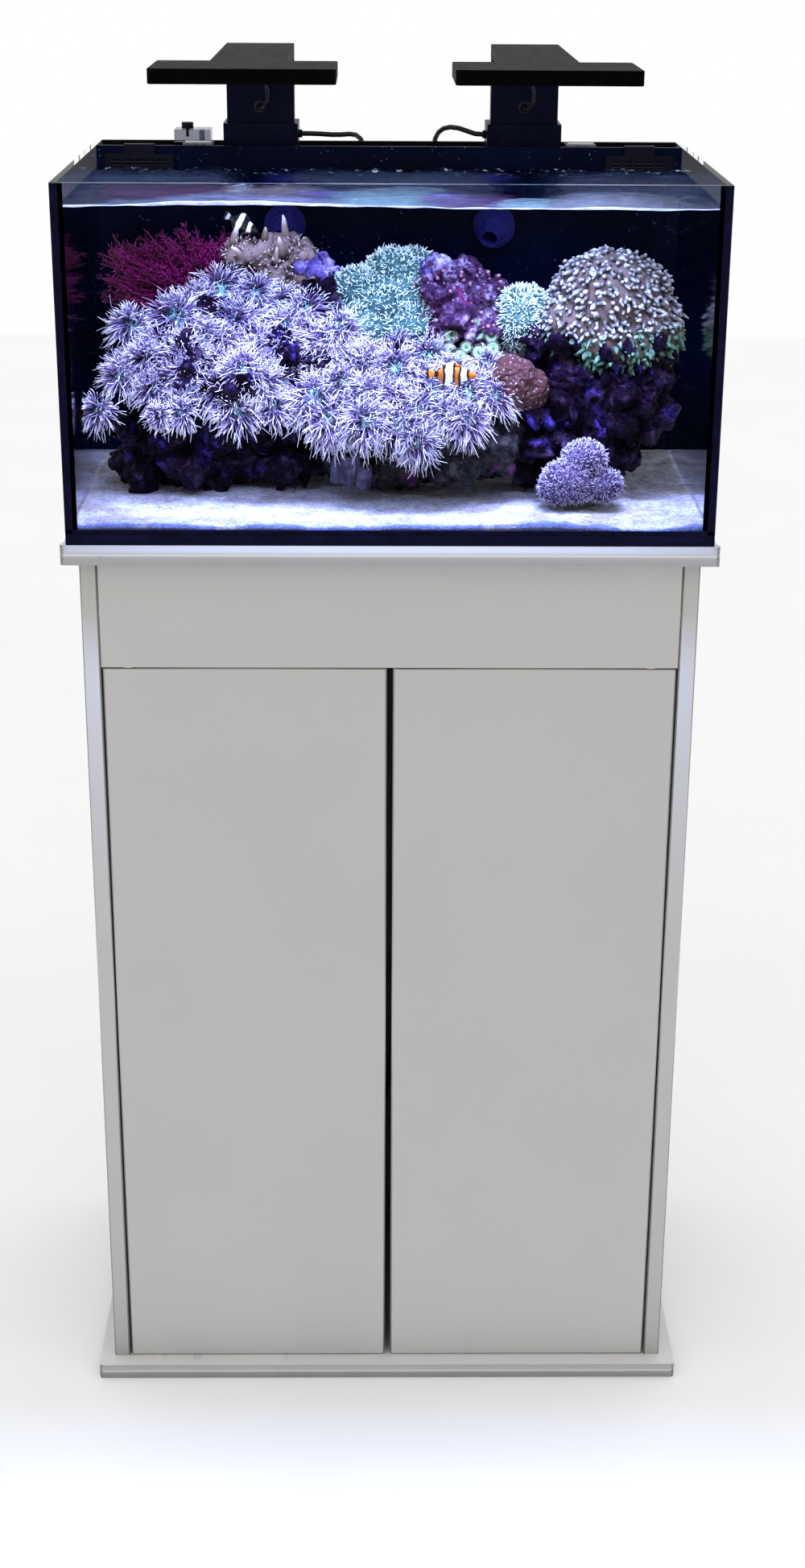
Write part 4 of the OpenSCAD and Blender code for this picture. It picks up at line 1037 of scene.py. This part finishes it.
def sea_fan():
    """Bushy magenta gorgonian: wavy branches that fork and end in fine feathers."""
    (x, y, z), (wide, deep, tall) = GORGONIAN_AT
    count = 380
    foot = np.array([x + 40, y, z - 26]) * 0.001
    aim = np.stack([CHANCE.uniform(-1.02, 0.55, count), CHANCE.uniform(-0.6, 0.6, count),
                    CHANCE.random(count) ** 0.8], 1)
    aim[:, 2] *= 1 - 0.35 * np.abs(aim[:, 0] + 0.3)
    t = np.linspace(0, 1, 12)
    reach_to = np.stack([aim[:, 0] * wide * 0.0009, aim[:, 1] * deep * 0.0008,
                         (aim[:, 2] * 0.9 + 0.12) * tall * 0.00135], 1)
    wobble = np.cumsum(CHANCE.normal(0, 0.0016, (count, 12, 3)), axis=1)
    paths = foot + reach_to[:, None] * t[None, :, None] ** 0.85 + wobble
    parts = []
    radii = np.interp(t, [0, 1], [0.0022, 0.0009])[None] * np.ones((count, 1))
    points, faces = sweep(paths, radii, 5)
    parts.append((points, faces, np.tile(np.repeat(t * 0.4, 5), count), np.repeat(CHANCE.random(count), 60)))
    twigs = paths[:, 4:].reshape(-1, 3)
    way = unit(np.gradient(paths, axis=1)[:, 4:].reshape(-1, 3))
    for _ in range(5):
        lean = unit(way * 0.8 + CHANCE.normal(0, 0.7, way.shape))
        parts.append(hairs(twigs, lean, CHANCE.uniform(0.003, 0.0085, len(twigs)),
                           CHANCE.uniform(0.0004, 0.00065, len(twigs)), 0.4, stations=4, sides=3))
    grow("sea_fan", gather(parts), GORGONIAN)


def leather_coral():
    lumps("leather_coral_body", LEATHER_BALLS, flesh("leather_flesh", (0.08, 0.05, 0.045), (0.28, 0.20, 0.20)),
          rough=0.16, voxel=0.0018, seed=4.0)
    roots, outs = on_ellipsoids(LEATHER_BALLS, 900, 1120)
    fingers = hairs(roots, outs + np.array([0, -0.1, 0.5]), CHANCE.uniform(0.003, 0.007, len(roots)),
                    CHANCE.uniform(0.0006, 0.0012, len(roots)), 0.4, stations=4)
    tall_roots = roots[::60]
    horns = hairs(tall_roots, np.tile([[0.0, 0.0, 1.0]], (len(tall_roots), 1)),
                  CHANCE.uniform(0.014, 0.026, len(tall_roots)), 0.0035, 0.25, stations=7, sides=6,
                  profile=[1.6, 1.3, 1.1, 1.0, 0.8, 0.6, 0.2], wild=0.25)
    grow("leather_coral_fingers", gather([fingers, horns]), LEATHER)


def brain_coral():
    f = Finish("brain_coral", "coral", Roughness=0.55, Specular_IOR_Level=0.2)
    dots = f.ramp(f.cells(210.0), (0.10, (0.42, 0.34, 0.40)), (0.24, (0.05, 0.020, 0.018)))
    shade = f.ramp(f.cloud(25.0, 4.0), (0.3, (0.03, 0.012, 0.014)), (0.7, (0.07, 0.032, 0.04)))
    f.feed("Base Color", f.blend(0.4, dots, shade))
    f.relief(f.cells(210.0), 0.003)
    lumps("brain_coral", BRAIN_BALLS, f, rough=0.05, voxel=0.0018, fine=0.0006)


def discs():
    """Pale green button polyps, each a dished disc with a fringe."""
    spots = [(58, -40, 1085, 6.2), (83, -41, 1086, 5.0), (96, -42, 1084, 5.0), (72, -53, 1076, 4.6),
             (45, -48, 1078, 4.6), (84, -58, 1072, 6.2), (97, -53, 1075, 5.8), (56, -54, 1076, 3.9),
             (66, -61, 1069, 5.8), (49, -60, 1068, 4.6), (57, -62, 1067, 2.9), (108, -62, 1065, 6.2),
             (82, -36, 1096, 3.2), (56, -36, 1098, 3.2)]
    f = Finish("button_polyps", "coral", Roughness=0.4)
    reach = f.point_value("reach")
    f.feed("Base Color", f.ramp(reach, (0.0, (0.02, 0.045, 0.025)), (0.30, (0.10, 0.18, 0.10)),
                                (0.7, (0.15, 0.21, 0.13)), (1.0, (0.03, 0.035, 0.02))))
    points, faces, reaches, start = [], [], [], 0
    ringing = [(-9, 0.12), (-2.2, 0.30), (-0.9, 0.75), (0.1, 1.0), (0.5, 0.96), (0.1, 0.8), (-0.5, 0.4), (-0.2, 0.15)]
    tone = [0.9, 1.0, 1.0, 0.9, 0.75, 0.5, 0.3, 0.0]
    around = 22
    fringe = []
    for x, y, z, r in spots:
        facing = unit(np.array([0.1 * CHANCE.normal(), -1.0, 0.55 + 0.1 * CHANCE.normal()]))
        side = unit(np.cross(facing, [0, 0, 1.0]))
        up = np.cross(side, facing)
        centre = np.array([x, y - 17, z]) * 0.001
        for depth, share in ringing:
            for k in range(around):
                a = 2 * math.pi * k / around
                way = side * math.cos(a) + up * math.sin(a)
                points.append(centre + facing * depth * 0.001 + way * share * r * 0.001)
        reaches += [t for t in tone for _ in range(around)]
        for i in range(len(ringing) - 1):
            for k in range(around):
                m = (k + 1) % around
                a, b = start + i * around, start + (i + 1) * around
                faces.append((a + k, a + m, b + m, b + k))
        faces.append(tuple(start + k for k in reversed(range(around))))
        faces.append(tuple(start + (len(ringing) - 1) * around + k for k in range(around)))
        start += len(ringing) * around
        turn = np.linspace(0, 2 * math.pi, 36, endpoint=False)
        ring = side * np.cos(turn)[:, None] + up * np.sin(turn)[:, None]
        fringe.append(hairs(centre + ring * r * 0.00095, ring + facing * 0.15, np.full(36, r * 0.00045),
                            np.full(36, 0.00022), 0.15, stations=3, wild=0.1))
    add_piece("button_polyps", keep_in_tank(np.array(points)), faces, f, MAIN, reach=reaches)
    grow("button_fringes", gather(fringe), grown("button_fringe", (0.10, 0.14, 0.09), (0.20, 0.23, 0.17)))


def knobs():
    """Pink and violet knobs crusting the button polyps' rock."""
    roots, outs = on_ellipsoids(ZOA_ROCK, 420, 1082)
    roots = roots + CHANCE.normal(0, 0.001, roots.shape)
    stems = hairs(roots, outs, CHANCE.uniform(0.003, 0.0055, len(roots)),
                  CHANCE.uniform(0.7, 1.25, len(roots)) * 0.0016, 0.2, stations=5, sides=6,
                  profile=[0.8, 1.1, 1.2, 1.0, 0.4], wild=0.3)
    grow("rock_knobs", stems, grown("violet_knobs", (0.03, 0.006, 0.015), (0.13, 0.045, 0.07), (0.36, 0.18, 0.26)))


def tubes_cluster():
    """Short grey-violet sponge tubes at the foot of the middle rock."""
    shape = bmesh.new()
    for x, y, z, r, h in ((-40, -92, 952, 9, 30), (-26, -96, 948, 7, 22), (-52, -84, 950, 6, 24)):
        k = 0.001
        profile = [(0, r * k), (h * 0.5 * k, r * 1.12 * k), (h * k, r * 0.95 * k), (h * k + 0.001, r * 0.8 * k),
                   (h * k, r * 0.6 * k), (h * 0.3 * k, r * 0.5 * k), (h * 0.28 * k, 0.0003), (0, 0.0003)]
        lathe(shape, profile, (x * k, y * k, z * k), (0.1, -0.35, 1.0), 20)
    return from_bmesh("sponge_tubes", shape, flesh("sponge", (0.02, 0.016, 0.035), (0.10, 0.09, 0.15), 80.0), MAIN)


def sand_finish():
    """Pale coral sand, brown where algae grow and shaded blue along the front pane."""
    f = Finish("sand", Roughness=0.9, Specular_IOR_Level=0.15)
    grain = f.cells(900.0, "F1", "Color")
    base = f.ramp(f.cloud(260.0, 8.0, 0.9) * 0.6 + f.cloud(45.0, 6.0, 0.75) * 0.4,
                  (0.38, (0.14, 0.13, 0.19)), (0.49, (0.40, 0.40, 0.50)), (0.60, (0.70, 0.71, 0.84)))
    base = f.blend(0.2, base, grain, "OVERLAY")
    algae = f.mask(f.cloud(13.0, 8.0, 0.75), 0.51, 0.62)
    brown = f.ramp(f.cloud(300.0, 6.0, 0.9), (0.4, (0.12, 0.09, 0.07)), (0.6, (0.42, 0.38, 0.36)))
    base = f.blend(algae * 0.8, base, brown)
    front = node_box("sand_bed")[0][1]
    # Painted shade: the sand turns blue-grey towards the front pane.
    shaded = f.ramp(f.height("Y") - front + f.cloud(16.0, 3.0, 0.6, (1, 0, 0)) * 0.05 - 0.024,
                    (0.0, even(1.0)), (0.006, even(0.0)))
    blue = f.ramp(f.cloud(240.0, 6.0, 0.9), (0.4, (0.05, 0.08, 0.26)), (0.6, (0.16, 0.21, 0.52)))
    f.feed("Base Color", f.blend(shaded * 0.85, base, blue))
    f.relief(f.cloud(420.0, 6.0, 0.85) + f.cells(700.0) * 0.6, 0.0016)
    return f


def sand_bed():
    """Uneven bed of sand: ridges and a wavy front edge against the glass."""
    low, high = node_box("sand_bed")
    spread = 0.003
    low, high = (low[0] - spread, low[1] - spread, low[2]), (high[0] + spread, high[1], high[2])
    across, deep = 230, 120
    xs, ys = np.linspace(low[0], high[0], across), np.linspace(low[1], high[1], deep)
    top, under = [], []
    for y in ys:
        for x in xs:
            wave = noise.fractal(Vector((x * 9, y * 14, 1.0)), 1.0, 2.0, 4) * 0.0030
            grain = noise.noise(Vector((x * 150, y * 190, 0.0))) * 0.0012
            near = max(0.0, 1 - (y - low[1]) / 0.05)
            ridge = near * 0.0045 * (noise.noise(Vector((x * 11 + 3, 0.0, 5.0))) - 0.1)
            z = min(high[2] - 0.0004, high[2] - 0.0045 + wave + grain + ridge)
            top.append((x, y, z))
            under.append((x, y, low[2]))
    points = top + under
    size = len(top)
    faces = []
    for j in range(deep - 1):
        for i in range(across - 1):
            a = j * across + i
            faces.append((a, a + 1, a + across + 1, a + across))
            faces.append((size + a, size + a + across, size + a + across + 1, size + a + 1))
    for i in range(across - 1):
        a, b = i, (deep - 1) * across + i
        faces.append((a, size + a, size + a + 1, a + 1))
        faces.append((b + 1, size + b + 1, size + b, b))
    for j in range(deep - 1):
        a, b = j * across, j * across + across - 1
        faces.append((a + across, size + a + across, size + a, a))
        faces.append((b, size + b, size + b + across, b + across))
    return add_piece("sand_bed_raked", points, faces, sand_finish(), MAIN, ["sand_bed"])


def build_reef():
    sand_bed()
    lumps("rocks_left", LEFT_ROCK, ROCK, ["reef_rocks"], seed=1.0, rough=0.2, fine=0.0065)
    lumps("rocks_middle", MIDDLE_ROCK, GREY_ROCK, seed=2.0, fine=0.004)
    lumps("rocks_right", RIGHT_ROCK, ROCK, seed=3.0, rough=0.2, fine=0.0075)
    lumps("crusted_rock", ZOA_ROCK, PALE_ROCK, seed=5.0, rough=0.16, voxel=0.002, fine=0.005)
    lumps("violet_rock", VIOLET_BALLS, VIOLET_ROCK, seed=9.0, rough=0.2, voxel=0.002, fine=0.005)
    bed = flesh("polyp_bed", (0.010, 0.005, 0.016), (0.045, 0.026, 0.055))
    lumps("polyp_bed_left", FLOWER_BED, bed, ["corals"], seed=6.0, voxel=0.003)
    lumps("polyp_bed_middle", MIDDLE_BED, bed, seed=7.0, voxel=0.003)
    flower_cluster("flower_polyps_left", FLOWERS_LEFT, LEFT_MIDDLE, FLOWER, 1.06)
    flower_cluster("flower_polyps_middle", FLOWERS_MIDDLE, RIGHT_MIDDLE, FLOWER, 1.08)
    flower_cluster("flower_polyps_high", scattered_flowers(FLOWER_BED, 96, 20), LEFT_MIDDLE, SHADED_FLOWER)
    flower_cluster("flower_polyps_behind", scattered_flowers(MIDDLE_BED, 48, 19), RIGHT_MIDDLE, SHADED_FLOWER)
    teal = flesh("polyp_mouths", (0.10, 0.22, 0.26), (0.30, 0.58, 0.62), 120.0)
    flower_discs("polyp_mouths_left", FLOWERS_LEFT, LEFT_MIDDLE, teal)
    flower_discs("polyp_mouths_middle", FLOWERS_MIDDLE, RIGHT_MIDDLE, teal)
    core = flesh("star_core", (0.02, 0.05, 0.055), (0.06, 0.14, 0.14))
    lumps("star_polyp_cores", STAR_BALLS, core, rough=0.02, voxel=0.003, fine=0.0006)
    lumps("star_polyp_core_right", STAR_RIGHT, core, rough=0.02, voxel=0.003, fine=0.0006)
    star_polyps("star_polyps", STAR_BALLS, 5200, STAR, cut_below=1055)
    star_polyps("star_polyps_right", STAR_RIGHT, 1500, STAR)
    lumps("hammer_core", HAMMER_BALLS, flesh("hammer_flesh", (0.05, 0.03, 0.03), (0.14, 0.10, 0.09)), rough=0.02,
          voxel=0.003, fine=0.0006)
    hammer_coral()
    brain_coral()
    lumps("needle_core", SPIKY_BALLS, flesh("needle_flesh", (0.05, 0.04, 0.09), (0.12, 0.09, 0.2)), rough=0.04,
          voxel=0.0025, fine=0.0006)
    star_polyps("needle_polyps", SPIKY_BALLS, 2800, SPIKY, 0.0055, 0.0004)
    sea_fan()
    leather_coral()
    discs()
    knobs()
    tubes_cluster()


# ---- fish ----

def fish(name, nose, tail, tall, finish):
    """Clownfish: oval body lofted from nose to tail, with fins."""
    nose, tail = np.array(nose) * 0.001, np.array(tail) * 0.001
    way = tail - nose
    side = unit(np.cross(way, [0, 0, 1.0]))
    up = unit(np.cross(side, way))
    stations = [(0.0, 0.06, 0.05), (0.06, 0.32, 0.2), (0.18, 0.62, 0.36), (0.36, 0.9, 0.46), (0.55, 0.92, 0.42),
                (0.70, 0.66, 0.28), (0.80, 0.36, 0.14), (0.86, 0.34, 0.09), (0.93, 0.55, 0.05), (1.0, 0.62, 0.02)]
    around = 18
    points, reach = [], []
    for t, high, thick in stations:
        for k in range(around):
            a = 2 * math.pi * k / around
            points.append(nose + way * t + up * math.sin(a) * high * tall * 0.0005
                          + side * math.cos(a) * thick * tall * 0.0005)
            reach.append(t)
    faces = [(i * around + k, i * around + (k + 1) % around, (i + 1) * around + (k + 1) % around,
              (i + 1) * around + k) for i in range(len(stations) - 1) for k in range(around)]
    faces.append(tuple(range(around)))
    faces.append(tuple((len(stations) - 1) * around + k for k in reversed(range(around))))
    start = len(points)
    for rise, first, last, tallness in ((1, 0.32, 0.72, 0.32), (-1, 0.52, 0.74, 0.28), (-1, 0.3, 0.42, 0.34)):
        steps = 8
        for i in range(steps + 1):
            t = first + (last - first) * i / steps
            body = np.interp(t, [s[0] for s in stations], [s[1] for s in stations]) * tall * 0.0005 * 0.9
            height = body + math.sin(math.pi * (0.12 + 0.8 * i / steps)) * tallness * tall * 0.001
            for h in (body, height):
                for s in (-1, 1):
                    points.append(nose + way * t + up * rise * h + side * s * 0.00025)
                    reach.append(t)
        for i in range(steps):
            a = start + i * 4
            faces += [(a, a + 4, a + 6, a + 2), (a + 1, a + 3, a + 7, a + 5), (a + 2, a + 6, a + 7, a + 3),
                      (a, a + 1, a + 5, a + 4)]
        faces += [(start, start + 2, start + 3, start + 1),
                  (start + steps * 4, start + steps * 4 + 1, start + steps * 4 + 3, start + steps * 4 + 2)]
        start += (steps + 1) * 4
    return add_piece(name, points, faces, finish, MAIN, reach=reach)


def fish_finish(name, ground, trim):
    f = Finish(name, Roughness=0.35)
    along = f.point_value("reach") + (f.cloud(90.0, 3.0) - 0.5) * 0.10
    black = (0.005, 0.005, 0.008)
    white = (0.85, 0.88, 1.0)
    bands = f.ramp(along, (0.0, ground), (0.15, black), (0.20, white), (0.31, black), (0.36, ground), (0.43, black),
                   (0.48, white), (0.62, black), (0.67, ground), (0.77, black), (0.84, trim), (0.94, black))
    f.feed("Base Color", bands)
    for node in f.tree.nodes:
        if node.type == "VALTORGB":
            node.color_ramp.interpolation = "CONSTANT"
    return f


def build_fish():
    fish("clownfish_orange", (80, -131, 1061), (33, -129, 1062), 16,
         fish_finish("orange_fish", (0.62, 0.14, 0.01), (0.75, 0.25, 0.02)))
    fish("clownfish_black", (-128, 20, 1170), (-160, 24, 1186), 14,
         fish_finish("black_fish", (0.004, 0.004, 0.007), (0.5, 0.5, 0.6)))


# ---- lamps, room and floor ----

def lamp(name, place, size, power, colour, aim=(0, 0, -1), spread=180):
    data = bpy.data.lights.new(name, "AREA")
    data.shape, data.size, data.size_y = "RECTANGLE", *size
    data.energy, data.color, data.spread = power, colour, math.radians(spread)
    lit = bpy.data.objects.new(name, data)
    bpy.context.scene.collection.objects.link(lit)
    lit.location = place
    lit.visible_camera = lit.visible_glossy = lit.visible_transmission = False
    lit.rotation_mode = "QUATERNION"
    lit.rotation_quaternion = Vector(aim).to_track_quat("-Z", "Y")
    return lit


def build_room():
    world = bpy.data.worlds.new("room")
    bpy.context.scene.world = world
    world.use_nodes = True
    world.node_tree.nodes["Background"].inputs["Color"].default_value = (1, 1, 1, 1)
    world.node_tree.nodes["Background"].inputs["Strength"].default_value = 1.0
    bpy.context.scene.view_settings.view_transform = "Standard"
    for side in SIDES:
        low, high = node_box(f"light_lens_{side}")
        lamp(f"reef_light_{side}", ((low[0] + high[0]) / 2, (low[1] + high[1]) / 2, low[2] - 0.002),
             (0.13, 0.075), 1.7, (0.46, 0.56, 1.0), spread=120)
    lamp("reef_front_fill", (0.0, -0.15, 1.21), (0.5, 0.05), 0.5, (0.30, 0.38, 1.0), (0, 0.35, -1), 120)
    lamp("sand_fill", (0.0, -0.140, 1.20), (0.56, 0.03), 1.05, (0.50, 0.57, 1.0), (0, 0.26, -1), 84)
    lamp("rock_foot_fill", (0.0, -0.176, 1.06), (0.56, 0.03), 0.34, (0.48, 0.56, 1.0), (0, 0.75, -1), 110)
    shape = bmesh.new()
    bmesh.ops.create_grid(shape, x_segments=8, y_segments=8, size=6.0)
    mesh = bpy.data.meshes.new("floor")
    shape.to_mesh(mesh)
    shape.free()
    floor = bpy.data.objects.new("floor", mesh)
    floor.location = (0, 0, -0.0005)
    bpy.context.scene.collection.objects.link(floor)
    pale = Finish("pale_floor", Roughness=0.9)
    pale.feed("Base Color", pale.ramp(pale.cloud(2.0), (0.3, even(0.93)), (0.7, even(0.96))))
    mesh.materials.append(pale.material)


build_stand()
build_tank()
for side_name in SIDES:
    build_light(side_name)
build_filter()
build_reef()
build_fish()
build_room()
